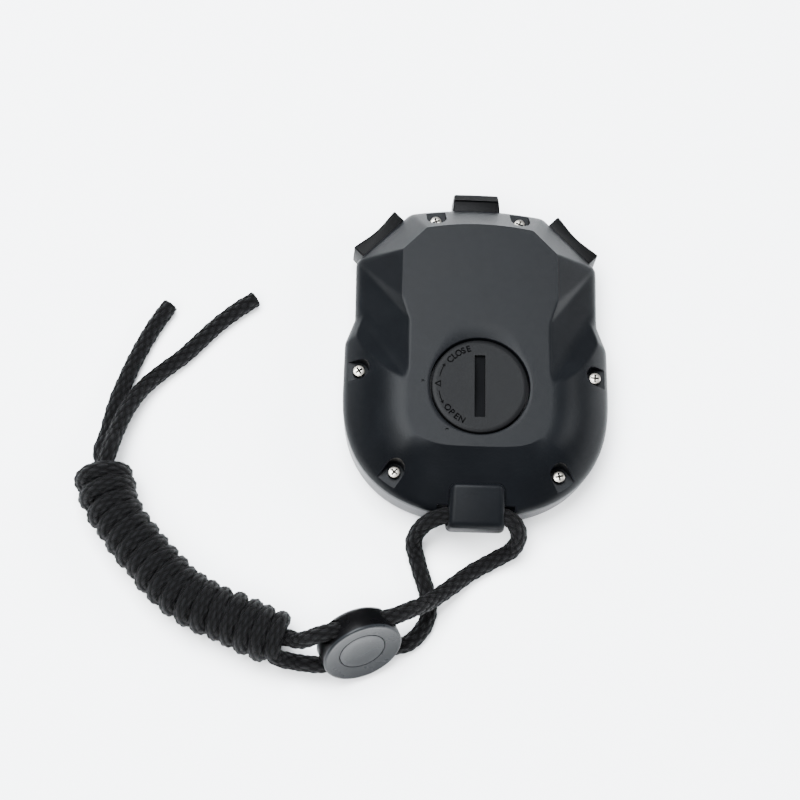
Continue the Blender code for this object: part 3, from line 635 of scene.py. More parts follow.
def rectangle_outline(box, outline):
    """A rectangle, as half width, lower and upper y, with one point for each point of an outline."""
    half_x, y0, y1 = box
    middle, half_y = (y0 + y1) / 2, (y1 - y0) / 2
    points = []
    for x, y in outline:
        reach = max(abs(x) / half_x, abs(y - middle) / half_y)
        points.append((x / reach, middle + (y - middle) / reach))
    return points


# ---------------------------------------------------------------- case back

def swell(index, count):
    """How much the slope bulges: none on the facets, most round the sides of the lobe."""
    index = min(index, count - index)
    start, end = sum(OUTLINE_STEPS[:3]), sum(OUTLINE_STEPS)
    lobe_from = sum(OUTLINE_STEPS[:5])
    rising = smoothstep(start, start + OUTLINE_STEPS[3], index)
    along = (index - lobe_from) / (end - lobe_from)
    return rising * (1 - smoothstep(0.42, 0.78, along))


def grip_height(x, y):
    """Floor, inner side and riser of the finger grip beside the flat back."""
    s = abs(x)
    floor = Z_TOP - (s - FLAT_X) * GRIP_SLOPE
    side = Z_TOP - ((s - 19.4) * 0.952 - (y - 11.9) * 0.3065) * GRIP_SIDE_SLOPE
    along = ((27.7 - s) * 0.515 + (6.9 - y) * 0.857) / 16.69
    past = (s - 27.7) * 0.857 - (y - 6.9) * 0.515
    strip = floor + (past + 1.6) * 0.34
    riser = floor + 0.5 + past * (0.62 + 0.3 * min(max(along, 0), 1.2))
    return smooth_max(smooth_max(floor, strip, 0.2), smooth_max(side, riser, 0.25), 0.25)


def make_back_mesh():
    """The outer skin from the rim over the slopes to the flat, then the seat, bay and inside."""
    outer, flat = case_outline(), flat_outline()
    count = len(outer)
    rings = [at_height(inset(outer, 0.12), Z_BACK_BASE)]
    rings += [at_height(outer, z) for z in (Z_BACK_BASE + 0.15, Z_BACK_BASE + 0.9, Z_RIM - 1.5)]
    for k in range(SLOPE_RINGS + 1):
        u = (k / SLOPE_RINGS) ** 1.25
        ring = []
        for i in range(count):
            x = outer[i][0] + (flat[i][0] - outer[i][0]) * u
            y = outer[i][1] + (flat[i][1] - outer[i][1]) * u
            z = Z_RIM + (Z_TOP - Z_RIM) * (u + swell(i, count) * u * (1 - u))
            if -14 < y < 25.5:
                z = smooth_min(z, grip_height(x, y), 0.28)
            reach = math.dist(outer[i], (x, y))
            z -= 1.0 * math.exp(-reach / 0.42)
            ring.append((x, y, min(z, Z_TOP)))
        rings.append(ring)
    seat = circle_outline(COVER_SEAT_R, flat)
    for t in (0.04, 0.1, 0.3, 0.6, 0.85):
        rings.append([(f[0] + (c[0] - f[0]) * t, f[1] + (c[1] - f[1]) * t, Z_TOP)
                      for f, c in zip(flat, seat)])
    turned = [(COVER_SEAT_R + 0.25, Z_TOP), (COVER_SEAT_R + 0.08, Z_TOP - 0.07), (COVER_SEAT_R, Z_TOP - 0.25),
              (COVER_SEAT_R, SEAT_Z), (BAY_R, SEAT_Z), (BAY_R, BAY_FLOOR), (0.5, BAY_FLOOR)]
    rings += [at_height(circle_outline(r, flat), z) for r, z in turned]
    wall = inset(outer, SIDE_WALL)
    roof = [(x * 0.9, COVER_Y + (y - COVER_Y) * 0.9, 20.0) for x, y in inset(flat, 1.5)]
    well = circle_outline(WELL_R, flat)
    under = [at_height(inset(outer, SIDE_WALL - 0.1), Z_BACK_BASE), at_height(wall, Z_BACK_BASE + 0.6), roof,
             at_height(well, 20.0), at_height(well, WELL_BOTTOM),
             at_height(circle_outline(0.5, flat), WELL_BOTTOM)]
    return lofted("case_back", under[::-1] + rings)


def u_pocket(x, y, out):
    """Cutter for a screw pocket, round inside and open outwards."""
    away, start = Vector((*out, 0)), math.atan2(-out[1], -out[0]) - math.pi / 2
    centre = Vector((x, y, 0))
    plan = [centre + Vector((math.cos(a), math.sin(a), 0)) * POCKET_R
            for a in (start + math.pi * k / 20 for k in range(21))]
    plan += [plan[-1] + away * 12, plan[0] + away * 12]
    return slab("screw_pocket", [(p.x, p.y) for p in plan], POCKET_FLOOR, 27)


def button_axes():
    root = math.sqrt(0.5)
    axes = {"mode": (Vector((0, 1, 0)), Vector((0, TOP_Y, 0)))}
    for name, side in (("left", -1), ("right", 1)):
        out = Vector((side * root, root, 0))
        axes[name] = (out, out * SHOULDER_FACE + Vector((-side * root, root, 0)) * SIDE_BUTTON_ALONG)
    return axes


def button_pocket(name):
    """Cutter for the pocket that a button slides in."""
    out, face = button_axes()[name]
    width, z0, z1, _ = BUTTON_SIZES[name]
    across = Vector((-out.y, out.x, 0)) * (width / 2 + GAP)
    plan = [face - out * POCKET_DEPTH - across, face - out * POCKET_DEPTH + across,
            face + out * 9 + across, face + out * 9 - across]
    return slab("button_pocket", [(p.x, p.y) for p in plan], z0 - GAP, z1 + GAP)


def loop_block():
    """The bar at the lower end that the cord runs through, with rounded edges."""
    side = [(-34, LOOP_LIP_Z), (-34, LOOP_TOP_Z[0]), (LOOP_END_Y, LOOP_TOP_Z[1]), (LOOP_END_Y, LOOP_LIP_Z)]
    bar = lofted("loop_block", [[(x * (1.06 - 0.012 * (z - LOOP_LIP_Z)), y, z) for y, z in side]
                                for x in (-LOOP_HALF_X, LOOP_HALF_X)])
    bevelled(bar, 1.5, 6)
    return combined(bar, block("under_bar", (-9, CHANNEL_Y - 0.1, 5), (9, -30, Z_BACK_BASE)))


def cord_channel():
    mouth = CHANNEL_R + 0.5
    profile = [(0, -9.6), (mouth, -9.6), (mouth, -7.2), (CHANNEL_R + 0.2, -6.3), (CHANNEL_R, -5.4),
               (CHANNEL_R, 5.4), (CHANNEL_R + 0.2, 6.3), (mouth, 7.2), (mouth, 9.6), (0, 9.6)]
    return spun("cord_channel", (0, CHANNEL_Y, CHANNEL_Z), (1, 0, 0), profile, 40)


class PieceOperator(Operator):
    """Makes one piece, or one group of like pieces."""
    bl_options = {'REGISTER', 'UNDO'}

    def execute(self, context):
        self.make(context.scene.stopwatch_finishes, context.scene.stopwatch_sizes)
        return {'FINISHED'}


class STOPWATCH_OT_case_back(PieceOperator):
    """Make the case back: facets, finger grips, round lobe, cover seat, screw pockets and loop bar"""
    bl_idname = "stopwatch.case_back"
    bl_label = "Case back"

    def make(self, finishes, sizes):
        back = combined(make_back_mesh(), loop_block(), 'UNION')
        cutters = [u_pocket(*place) for place in SCREWS.values()]
        cutters += [button_pocket(name) for name in BUTTON_SIZES]
        cutters.append(cord_channel())
        for mark, radius, angle in ((1, 13.95, 177), (2, 13.9, 235)):
            a = math.radians(angle)
            cutters.append(rod(f"mark_{mark}", (radius * math.cos(a), COVER_Y + radius * math.sin(a), Z_TOP),
                               (0, 0, 1), 0.42, -0.5, 1, 20))
        combined(back, merged(cutters))
        finished(back, "case_back", "watch",
                 moulded("case_back_plastic", finishes.case, 0.37), ["back_shell"], angle=24)


class STOPWATCH_OT_case_front(PieceOperator):
    """Make the case front: rounded shell, window opening and trim recess"""
    bl_idname = "stopwatch.case_front"
    bl_label = "Case front"

    def make(self, finishes, sizes):
        outer = case_outline()
        recesses = [(WINDOW, 2.2), (WINDOW, 1.9), (LENS_RECESS, 1.9), (LENS_RECESS, 1.2), (TRIM_RECESS, 1.2),
                    (TRIM_RECESS, 0)]
        profile = [(2.1, 0), (1.6, 0.12), (1.1, 0.45), (0.75, 1.1), (0.55, 2.2), (0.4, 4), (0.3, 7.5),
                   (0.22, Z_FRONT_TOP - 0.25), (0.35, Z_FRONT_TOP), (SIDE_WALL + 0.4, Z_FRONT_TOP),
                   (SIDE_WALL + 0.5, 2.6), (SIDE_WALL + 1.0, 2.2)]
        rings = [at_height(rectangle_outline(box, outer), z) for box, z in recesses]
        rings += [at_height(inset(outer, d), z) for d, z in profile]
        shell = lofted("case_front", rings + rings[:1], capped=False)
        for name in BUTTON_SIZES:
            combined(shell, button_pocket(name))
        # the case colour raised 4.5 times is a painted reflection of the pale floor on the front shell's wall
        finished(shell, "case_front", "watch",
                 moulded("case_front_plastic", [c * 4.5 for c in finishes.case], 0.34, level=0.08),
                 ["front_shell"], angle=28)


# ---------------------------------------------------------------- screws

class STOPWATCH_OT_case_screws(PieceOperator):
    """Make the six plated case screws with cross recesses"""
    bl_idname = "stopwatch.case_screws"
    bl_label = "Case screws"

    def make(self, finishes, sizes):
        seat, top = POCKET_FLOOR + GAP, POCKET_FLOOR + GAP + 1.3
        profile = [(0, 4.0), (0.4, 4.0), (0.8, 4.6), (0.8, seat), (1.42, seat),
                   (1.5, seat + 0.08), (1.5, seat + 0.75), (1.46, seat + 0.95), (1.35, seat + 1.1),
                   (1.1, seat + 1.2),
                   (0.6, seat + 1.27), (0, top)]
        pattern = spun("case_screw", (0, 0, 0), (0, 0, 1), profile, 40)
        arms = block("cross", (-1.0, -0.24, top - 0.9), (1.0, 0.24, top + 1), 0.06, 2)
        other = block("cross_two", (-0.24, -1.0, top - 0.9), (0.24, 1.0, top + 1), 0.06, 2)
        arms = combined(arms, other, 'UNION')
        combined(pattern, arms)
        # the cross recess below the head's top is painted nearly black as painted shade
        look = plated("screw_nickel", finishes.nickel, 0.34, painted_shade_under=(top - 0.2) * MM)
        for turn, (tag, (x, y, _)) in enumerate(SCREWS.items()):
            only(pattern)
            bpy.ops.object.duplicate()
            screw = bpy.context.active_object
            screw.rotation_euler = (0, 0, math.radians(17 + 53 * turn))
            screw.location = (x * MM, y * MM, 0)
            finished(screw, f"screw_{tag}", "watch", look, [f"case_screw_{tag}"])
        bpy.data.objects.remove(pattern, do_unlink=True)


# ---------------------------------------------------------------- battery cover

def letter(text, size, radius, angle, turn):
    """One raised letter standing on the cover at a polar place."""
    bpy.ops.object.select_all(action='DESELECT')
    bpy.ops.object.text_add()
    item = bpy.context.active_object
    item.data.body = text
    item.data.size = size * 1.45
    item.data.extrude = 0.14 * MM
    item.data.offset = 0.02 * MM
    item.data.resolution_u = 4
    item.data.align_x, item.data.align_y = 'CENTER', 'CENTER'
    bpy.ops.object.convert(target='MESH')
    a = math.radians(angle)
    item.rotation_euler = (0, 0, math.radians(turn))
    item.location = Vector((radius * math.cos(a), COVER_Y + radius * math.sin(a), COVER_TOP + 0.02)) * MM
    return settle(item)


def arc_line(radius, start, end, width, head):
    """A thin raised arc with an arrow head at its end."""
    steps = 14
    z0, z1 = COVER_TOP - 0.08, COVER_TOP + 0.1
    turns = [math.radians(start + (end - start) * t / steps) for t in range(steps + 1)]
    far, near = radius + width / 2, radius - width / 2
    plan = [(far * math.cos(a), far * math.sin(a)) for a in turns]
    plan += [(near * math.cos(a), near * math.sin(a)) for a in reversed(turns)]
    line = slab("arc_line", [(x, y + COVER_Y) for x, y in plan], z0, z1)
    tip, back = math.radians(end + head), math.radians(end)
    plan = [(radius * math.cos(tip), radius * math.sin(tip)),
            ((radius + 0.42) * math.cos(back), (radius + 0.42) * math.sin(back)),
            ((radius - 0.42) * math.cos(back), (radius - 0.42) * math.sin(back))]
    return merged([line, slab("arrow_head", [(x, y + COVER_Y) for x, y in plan], z0, z1)])


class STOPWATCH_OT_battery_cover(PieceOperator):
    """Make the turning battery cover with its coin slot, and the raised marks on it"""
    bl_idname = "stopwatch.battery_cover"
    bl_label = "Battery cover"

    def make(self, finishes, sizes):
        profile = [(0, 19.8), (10.1, 19.8), (10.3, 20.0), (10.3, 20.9), (11.7, 20.9), (COVER_R, 21.05),
                   (COVER_R, COVER_TOP - 0.35), (COVER_R - 0.08, COVER_TOP - 0.12),
                   (COVER_R - 0.3, COVER_TOP),
                   (COVER_R - 1.2, COVER_TOP - 0.02), (0, COVER_TOP - 0.02)]
        cover = spun("battery_cover", (0, COVER_Y, 0), (0, 0, 1), profile, sizes.cover_sides)
        slot = slab("coin_slot", [(-1.3, -7.9), (1.3, -7.9), (1.3, 7.9), (-1.3, 7.9)], 20.1, 24)
        slot.location = (0, COVER_Y * MM, 0)
        bevelled(settle(slot), 0.12, 2)
        arc = [(0, -1.7), (35.1, -1.7), (35.1, 1.7), (0, 1.7)]      # the coin's edge cuts a shallow arc
        roof = spun("slot_arc", (0, COVER_Y, 55.3), (1, 0, 0), arc, 256)
        combined(cover, combined(slot, roof, 'INTERSECT'))
        finished(cover, "cover_cap", "battery_cover",
                 moulded("cover_cap_plastic", finishes.cover, 0.42, worn=0.3,
                         matt_under=(COVER_TOP - 0.15) * MM), ["battery_cover"])
        size = sizes.lettering
        marks = [letter(c, size, 9.75, 138 - 7.8 * k, 138 - 7.8 * k - 90) for k, c in enumerate("CLOSE")]
        marks += [letter(c, size, 9.75, 216 + 9 * k, 216 + 9 * k + 90) for k, c in enumerate("OPEN")]
        marks += [arc_line(10.1, 167, 151, 0.2, -4), arc_line(10.1, 189, 204, 0.2, 4)]
        edge = [(-11.15, 0.35), (-9.55, 1.2), (-9.55, -0.5)]
        triangle = slab("pointer", [(x, y + COVER_Y) for x, y in edge], COVER_TOP - 0.08, COVER_TOP + 0.1)
        inner = [(-10.7, 0.35), (-9.78, 0.84), (-9.78, -0.14)]
        combined(triangle, slab("pointer_hole", [(x, y + COVER_Y) for x, y in inner], 20, 24))
        finished(merged(marks + [triangle]), "cover_marks", "battery_cover",
                 moulded("cover_marks_plastic", [c * 0.3 for c in finishes.cover], 0.95, level=0.02))


# ---------------------------------------------------------------- buttons

class STOPWATCH_OT_push_buttons(PieceOperator):
    """Make the mode button and the two side buttons with hollowed finger faces"""
    bl_idname = "stopwatch.push_buttons"
    bl_label = "Push buttons"

    def make(self, finishes, sizes):
        for name, (out, face) in button_axes().items():
            width, z0, z1, stand_out = BUTTON_SIZES[name]
            base = -POCKET_DEPTH + TRAVEL + GAP
            across = Vector((-out.y, out.x, 0))
            if name == "mode":
                end = [(0.47 - 0.94 * t / 16, -0.12 * abs(2 * t / 16 - 1) ** 3) for t in range(17)]
            else:
                end = [(0.5 - t / 24, -0.75 * math.sin(math.pi * t / 24) ** 1.4) for t in range(25)]
            plan = [face + across * (width * s) + out * (stand_out + d) for s, d in end]
            plan += [face - across * (width / 2) + out * base, face + across * (width / 2) + out * base]
            cap = slab(f"{name}_cap", [(p.x, p.y) for p in plan], z0, z1)
            if name == "mode":
                slope = block("mode_slope", (-9, 0, 0), (9, 6, 4))
                slope.rotation_euler = (math.radians(-32), 0, 0)
                slope.location = (0, (TOP_Y + 2.9) * MM, z1 * MM)
                combined(cap, settle(slope))
            bevelled(cap, 0.42, 4, 40)
            seat = face + Vector((0, 0, BUTTON_Z))
            wall_in = TOP_Y - INNER_TOP_Y if name == "mode" else SHOULDER_FACE - INNER_SHOULDER
            stem = rod(f"{name}_stem", seat, out, STEM_R, -wall_in - 1.4, base + 0.4, 24)
            finished(merged([cap, stem]), f"{name}_button_cover", f"{name}_button",
                     moulded(f"{name}_button_plastic", finishes.buttons, 0.40, level=0.025),
                     [f"{name}_button_cap"])


# ---------------------------------------------------------------- cord stopper

def at_stopper(depth, along=0.0, up=0.0):
    across = STOPPER_NORMAL.cross(STOPPER_LEVEL)
    return Vector(STOPPER_FACE) - STOPPER_NORMAL * depth + STOPPER_LEVEL * along + across * up


class STOPWATCH_OT_cord_stopper(PieceOperator):
    """Make the round cord stopper: drum with two cord bores, and its dished push button"""
    bl_idname = "stopwatch.cord_stopper"
    bl_label = "Cord stopper"

    def make(self, finishes, sizes):
        r, depth = STOPPER_R, STOPPER_DEPTH
        profile = [(0, -depth), (r - 1.6, -depth), (r - 0.9, -depth + 0.25), (r - 0.3, -depth + 0.8),
                   (r, -depth + 1.6), (r, -0.5), (r - 0.08, -0.22), (r - 0.26, -0.05), (r - 0.5, 0),
                   (r - 0.75, -0.05), (r - 1.0, -0.12), (8.4, -0.21), (7.7, -0.33), (6.9, -0.45),
                   (6.2, -0.53), (5.95, -0.56), (5.85, -0.66), (5.85, -2.3), (3.9, -2.3), (3.9, -6.2),
                   (0, -6.2)]
        drum = spun("stopper_drum", STOPPER_FACE, STOPPER_NORMAL, profile, 96)
        mouth = BORE_R + 0.5
        bore = [(0, -12), (mouth, -12), (mouth, -6.6), (BORE_R + 0.2, -5.6), (BORE_R, -4.6), (BORE_R, 4.6),
                (BORE_R + 0.2, 5.6), (mouth, 6.6), (mouth, 12), (0, 12)]
        cutters = [spun("bore", at_stopper(BORE_DEPTH, 0, up), STOPPER_LEVEL, bore, 40)
                   for up in (BORE_OFFSET, -BORE_OFFSET)]
        for cutter in cutters:
            combined(drum, cutter)
        # the button's colour on the drum's front is a painted highlight
        finished(drum, "stopper_drum", "watch",
                 stopper_plastic("stopper_drum_plastic", finishes.stopper, finishes.dish), ["stopper_barrel"])
        dish = [(0, -4.9), (3.6, -4.9), (3.6, -1.15), (5.0, -1.15), (5.6, -0.9), (5.72, -0.66), (5.64, -0.57),
                (5.3, -0.6), (4.6, -0.71), (3.6, -0.86), (2.5, -0.97), (1.2, -1.03), (0, -1.05)]
        button = spun("stopper_push", STOPPER_FACE, STOPPER_NORMAL, dish, 80)
        combined(button, rod("spring_bore", STOPPER_FACE, STOPPER_NORMAL, 2.6, -6, -2.2, 32))
        finished(button, "stopper_push", "stopper_button",
                 moulded("stopper_push_plastic", finishes.dish, 0.24, grain=0.000008, level=0.13),
                 ["stopper_button"])


# ---------------------------------------------------------------- lanyard

def smooth_route(points, spacing):
    """Points about a given spacing apart on a smooth curve through a route, in mm."""
    route = [Vector(p) for p in points]
    ends = [route[0] * 2 - route[1]] + route + [route[-1] * 2 - route[-2]]
    fine = []
    for k in range(1, len(ends) - 2):
        a, b, c, d = ends[k - 1:k + 3]
        t0 = 0.0
        t1 = t0 + max((b - a).length, 1e-6) ** 0.5
        t2 = t1 + max((c - b).length, 1e-6) ** 0.5
        t3 = t2 + max((d - c).length, 1e-6) ** 0.5
        for step in range(24):
            t = t1 + (t2 - t1) * step / 24
            a1 = a * ((t1 - t) / (t1 - t0)) + b * ((t - t0) / (t1 - t0))
            a2 = b * ((t2 - t) / (t2 - t1)) + c * ((t - t1) / (t2 - t1))
            a3 = c * ((t3 - t) / (t3 - t2)) + d * ((t - t2) / (t3 - t2))
            b1 = a1 * ((t2 - t) / (t2 - t0)) + a2 * ((t - t0) / (t2 - t0))
            b2 = a2 * ((t3 - t) / (t3 - t1)) + a3 * ((t - t1) / (t3 - t1))
            fine.append(b1 * ((t2 - t) / (t2 - t1)) + b2 * ((t - t1) / (t2 - t1)))
    fine.append(route[-1])
    return respaced(fine, spacing)


def respaced(fine, spacing):
    """Even out the points of a dense route."""
    lengths = [0.0]
    for p, q in zip(fine, fine[1:]):
        lengths.append(lengths[-1] + (q - p).length)
    count = max(2, round(lengths[-1] / spacing))
    even, k = [], 0
    for step in range(count + 1):
        target = lengths[-1] * step / count
        while k < len(lengths) - 2 and lengths[k + 1] < target:
            k += 1
        share = (target - lengths[k]) / max(lengths[k + 1] - lengths[k], 1e-9)
        even.append(fine[k].lerp(fine[k + 1], min(max(share, 0), 1)))
    return even


def eased(route, joins):
    """Round off a route near the places where its runs meet, so that the cord has no kink there."""
    reach, passes = 14, 60
    for join in joins:
        centre = min(range(len(route)), key=lambda k: (route[k] - join).length)
        low, high = max(centre - 3 * reach, 0), min(centre + 3 * reach, len(route) - 1)
        soft = route[low:high + 1]
        for _ in range(passes):
            middle = [(a + b * 2 + c) / 4 for a, b, c in zip(soft, soft[1:], soft[2:])]
            soft = [soft[0]] + middle + [soft[-1]]
        for k, spot in enumerate(soft):
            share = math.exp(-((low + k - centre) / reach) ** 2)
            route[low + k] = route[low + k].lerp(spot, share)
    return respaced(route, CORD_STEP)


def through_stopper(up):
    return [at_stopper(BORE_DEPTH, along, up) for along in (9.4, 3.2, -3.2, -8.8)]


def wraps():
    """Centre line of the cord that is wound round the core of the hank."""
    axis = smooth_route(HANK, 0.5)
    total = len(axis) - 1
    points, steps = [], int(WRAP_TURNS * 36)
    for k in range(steps + 1):
        turn = k / 36
        angle = math.radians(WRAP_START) + math.tau * turn
        share = (k / steps) * 0.985
        share += 0.008 * math.sin(angle + 0.7) + 0.006 * noise.noise(Vector((turn * 0.8, 7.7, 2.1)))
        place = min(max(share * total, 0), total - 0.001)
        low = int(place)
        spot = axis[low].lerp(axis[low + 1], place - low)
        ahead = (axis[min(low + 3, total)] - axis[max(low - 3, 0)]).normalized()
        side = Vector((0, 0, 1)).cross(ahead).normalized()
        bulge = (1.1 * math.exp(-((share - 0.93) / 0.05) ** 2)
                 + 0.5 * noise.noise(Vector((turn * 0.9, 3.1, 0.4)))) * smoothstep(0, 1, steps / 36 - turn)
        radius = WRAP_R + bulge * smoothstep(0, 1.0, turn)
        lift = Vector((0, 0, 1)) * math.sin(angle) * radius
        height = smooth_max(spot.z + lift.z, 2.15, 1.5)
        spot = spot + side * math.cos(angle) * radius
        points.append(Vector((spot.x, spot.y, height)))
    return points


def tube_mesh(name, route, sizes):
    """A braided tube: rings of points along a route, raised stitch by stitch, with its own UV map."""
    radius = sizes.cord_diameter / 2 / MM
    relief = sizes.braid_relief / MM
    points, uvs, faces = [], [], []
    ahead = (route[1] - route[0]).normalized()
    first, _ = frame_along(ahead)
    walked = 0.0
    for k, spot in enumerate(route):
        if k:
            walked += (spot - route[k - 1]).length
        ahead = (route[min(k + 1, len(route) - 1)] - route[max(k - 1, 0)]).normalized()
        first = (first - ahead * first.dot(ahead)).normalized()
        second = ahead.cross(first)
        end = min(k, len(route) - 1 - k)
        shrink = 1 - 0.06 * math.exp(-end / 1.2)
        for i in range(CORD_SIDES):
            share = i / CORD_SIDES
            u, v = share * STITCHES_ROUND, walked / STITCH / 2
            a, b = (u + v) % 1, (u - v) % 1
            pillow = math.sqrt(max(math.sin(math.pi * a) * math.sin(math.pi * b), 0))
            loose = 0.05 * noise.noise(Vector((walked * 0.35, share * 5, 1.7)))
            out = (radius + relief * (pillow - 0.72) + loose) * shrink
            turn = math.tau * share
            points.append(spot + (first * math.cos(turn) + second * math.sin(turn)) * out)
    for k in range(len(route) - 1):
        for i in range(CORD_SIDES):
            j = (i + 1) % CORD_SIDES
            low, high = k * CORD_SIDES, (k + 1) * CORD_SIDES
            faces.append((low + i, low + j, high + j, high + i))
    caps = len(faces)
    faces += [tuple(range(CORD_SIDES))[::-1], tuple(range(len(points) - CORD_SIDES, len(points)))]
    item = from_points(name, points, faces)
    layer = item.data.uv_layers.new(name="Cord")
    step = 1 / STITCH / 2
    lengths, walked = [0.0], 0.0
    for p, q in zip(route, route[1:]):
        walked += (q - p).length
        lengths.append(walked)
    for index, face in enumerate(item.data.polygons):
        for corner, loop in enumerate(face.loop_indices):
            if index >= caps:
                layer.data[loop].uv = (0.5, 0.5)
                continue
            k, i = divmod(index, CORD_SIDES)
            row = k + (1 if corner in (2, 3) else 0)
            column = i + (1 if corner in (1, 2) else 0)
            layer.data[loop].uv = (column / CORD_SIDES * STITCHES_ROUND, lengths[row] * step)
    return item


class STOPWATCH_OT_lanyard(PieceOperator):
    """Make the two runs of braided cord, one through the hank and one wound round it"""
    bl_idname = "stopwatch.lanyard"
    bl_label = "Lanyard"

    def make(self, finishes, sizes):
        look = braid("cord_braid_black", finishes.cord)
        core = [tuple(p) for p in smooth_route(HANK, 6.0)[1:]]
        core_route = RIGHT_STRAND + through_stopper(BORE_OFFSET) + RIGHT_LINK + core + TOP_TAIL
        winding = wraps()[4:-4:2]
        wound_route = (LEFT_STRAND + through_stopper(-BORE_OFFSET) + LEFT_LINK
                       + [tuple(p) for p in winding] + LOW_TAIL)
        runs = (("cord_core", core_route, (LOOP_HALF_X, CHANNEL_Y, CHANNEL_Z),
                 ["lanyard_right_strand", "lanyard_top_tail"]),
                ("cord_winding", wound_route, (-LOOP_HALF_X, CHANNEL_Y, CHANNEL_Z),
                 ["lanyard_left_strand", "lanyard_low_tail", "lanyard_hank"]))
        for name, points, leaves, nodes in runs:
            route = smooth_route(points, CORD_STEP)
            if name == "cord_winding":
                route = eased(route, (winding[0], winding[-1]))
            length = sum((q - p).length for p, q in zip(route, route[1:]))
            item = tube_mesh(name, route, sizes)
            finished(item, name, "watch", look, nodes, angle=0)
            path = [tuple(p * MM) for p in route[:-2:3]] + [tuple(route[-1] * MM)]
            tuple(c * MM for c in leaves)
            print(name, "length", round(length, 1), "mm", len(item.data.polygons))


# ---------------------------------------------------------------- display and inside

SEGMENTS = {"0": "abcdef", "1": "bc", "2": "abged", "3": "abgcd", "4": "fgbc", "5": "afgcd", "6": "afgedc",
            "7": "abc", "8": "abcdefg", "9": "abcdfg"}


def digit(text, x, y, high):
    """One seven-segment digit on the display's outer face, as seen from the front."""
    wide, thick, gap = high * 0.52, high * 0.10, high * 0.02
    half = high / 2
    bars = {"a": (0, half, 1), "g": (0, 0, 1), "d": (0, -half, 1), "f": (-wide / 2, half / 2, 0),
            "b": (wide / 2, half / 2, 0), "e": (-wide / 2, -half / 2, 0), "c": (wide / 2, -half / 2, 0)}
    pieces = []
    for key in SEGMENTS[text]:
        cx, cy, level = bars[key]
        length = (wide if level else half) / 2 - gap
        w = thick / 2
        inner = length - w
        plan = [(-length, 0), (-inner, w), (inner, w), (length, 0), (inner, -w), (-inner, -w)]
        if not level:
            plan = [(b, a) for a, b in plan]
        # seen from below, +x points to the left, so the digit is mirrored here
        pieces.append(slab("segment", [(x - cx - a, y + cy + b) for a, b in plan], 2.43, 2.5))
    return pieces


class STOPWATCH_OT_display(PieceOperator):
    """Make the display's digits"""
    bl_idname = "stopwatch.display"
    bl_label = "Display"

    def make(self, finishes, sizes):
        pieces, x = [], 19.9
        for text in "0:00:00":
            if text == ":":
                for y in (4.3, 1.7):
                    pieces.append(slab("dot", [(x - 1.3, y - 0.4), (x - 0.5, y - 0.4), (x - 0.5, y + 0.4),
                                               (x - 1.3, y + 0.4)], 2.43, 2.5))
                x -= 2.1
            else:
                pieces += digit(text, x - 2.6, 3.0, 8.6)
                x -= 5.5
        for k, text in enumerate("00"):
            pieces += digit(text, -13.9 - 3.9 * k, 1.6, 5.8)
        finished(merged(pieces), "display_digits", "watch",
                 rubber("display_ink", (0.012, 0.014, 0.013)))


class STOPWATCH_OT_inner_parts(PieceOperator):
    """Give every part kept from the frame its own finish"""
    bl_idname = "stopwatch.inner_parts"
    bl_label = "Inner parts"

    def make(self, finishes, sizes):
        looks = {
            "seal_rubber": rubber("seal_rubber"), "nickel_steel": plated("spring_nickel", (0.62, 0.60, 0.56)),
            "clear_window": window_plastic("window_clear"), "lcd_glass": display_glass("display_glass"),
            "trim_plastic": moulded("trim_gloss", (0.008, 0.008, 0.009), 0.18, grain=0.000004),
            "inner_plastic": moulded("inner_ivory", (0.55, 0.54, 0.50), 0.5, worn=0.08),
            "board_laminate": laminate("board_green"),
            "black_resin": moulded("resin_black", (0.006, 0.006, 0.006), 0.25),
            "brass_disc": plated("sounder_brass", (0.72, 0.50, 0.22), 0.3),
            "battery_steel": plated("battery_bright", (0.66, 0.66, 0.67), 0.2),
            "switch_plastic": moulded("switch_black", (0.015, 0.015, 0.015), 0.5)}
        finish_of = {
            "case_gasket": "seal_rubber", "window_lens": "clear_window", "front_trim": "trim_plastic",
            "lcd_panel": "lcd_glass", "lcd_frame": "inner_plastic", "circuit_board": "board_laminate",
            "chip_cover": "black_resin", "sounder_disc": "brass_disc", "coin_battery": "battery_steel"}
        metal_ends = ("_clip", "_spring", "_crystal", "minus", "plus")
        for name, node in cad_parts.items():
            kind = finish_of.get(name)
            if kind is None:
                if name.endswith(("_seal", "strip_top", "strip_bottom")):
                    kind = "seal_rubber"
                elif name.endswith("switch_body"):
                    kind = "switch_plastic"
                elif name.endswith("plunger"):
                    kind = "inner_plastic"
                elif name.startswith("board_screw") or name.endswith(metal_ends):
                    kind = "nickel_steel"
            if kind:
                for slot in node.material_slots:
                    slot.material = looks[kind]


# ---------------------------------------------------------------- stage

def area_light(name, place, target, size, power, colour=(1, 1, 1)):
    light = bpy.data.lights.new(name, 'AREA')
    light.shape, light.size, light.size_y = 'RECTANGLE', size[0], size[1]
    light.energy, light.color = power, colour
    item = bpy.data.objects.new(name, light)
    item.location = place
    item.rotation_euler = (Vector(target) - Vector(place)).to_track_quat('-Z', 'Y').to_euler()
    bpy.context.collection.objects.link(item)
    return item


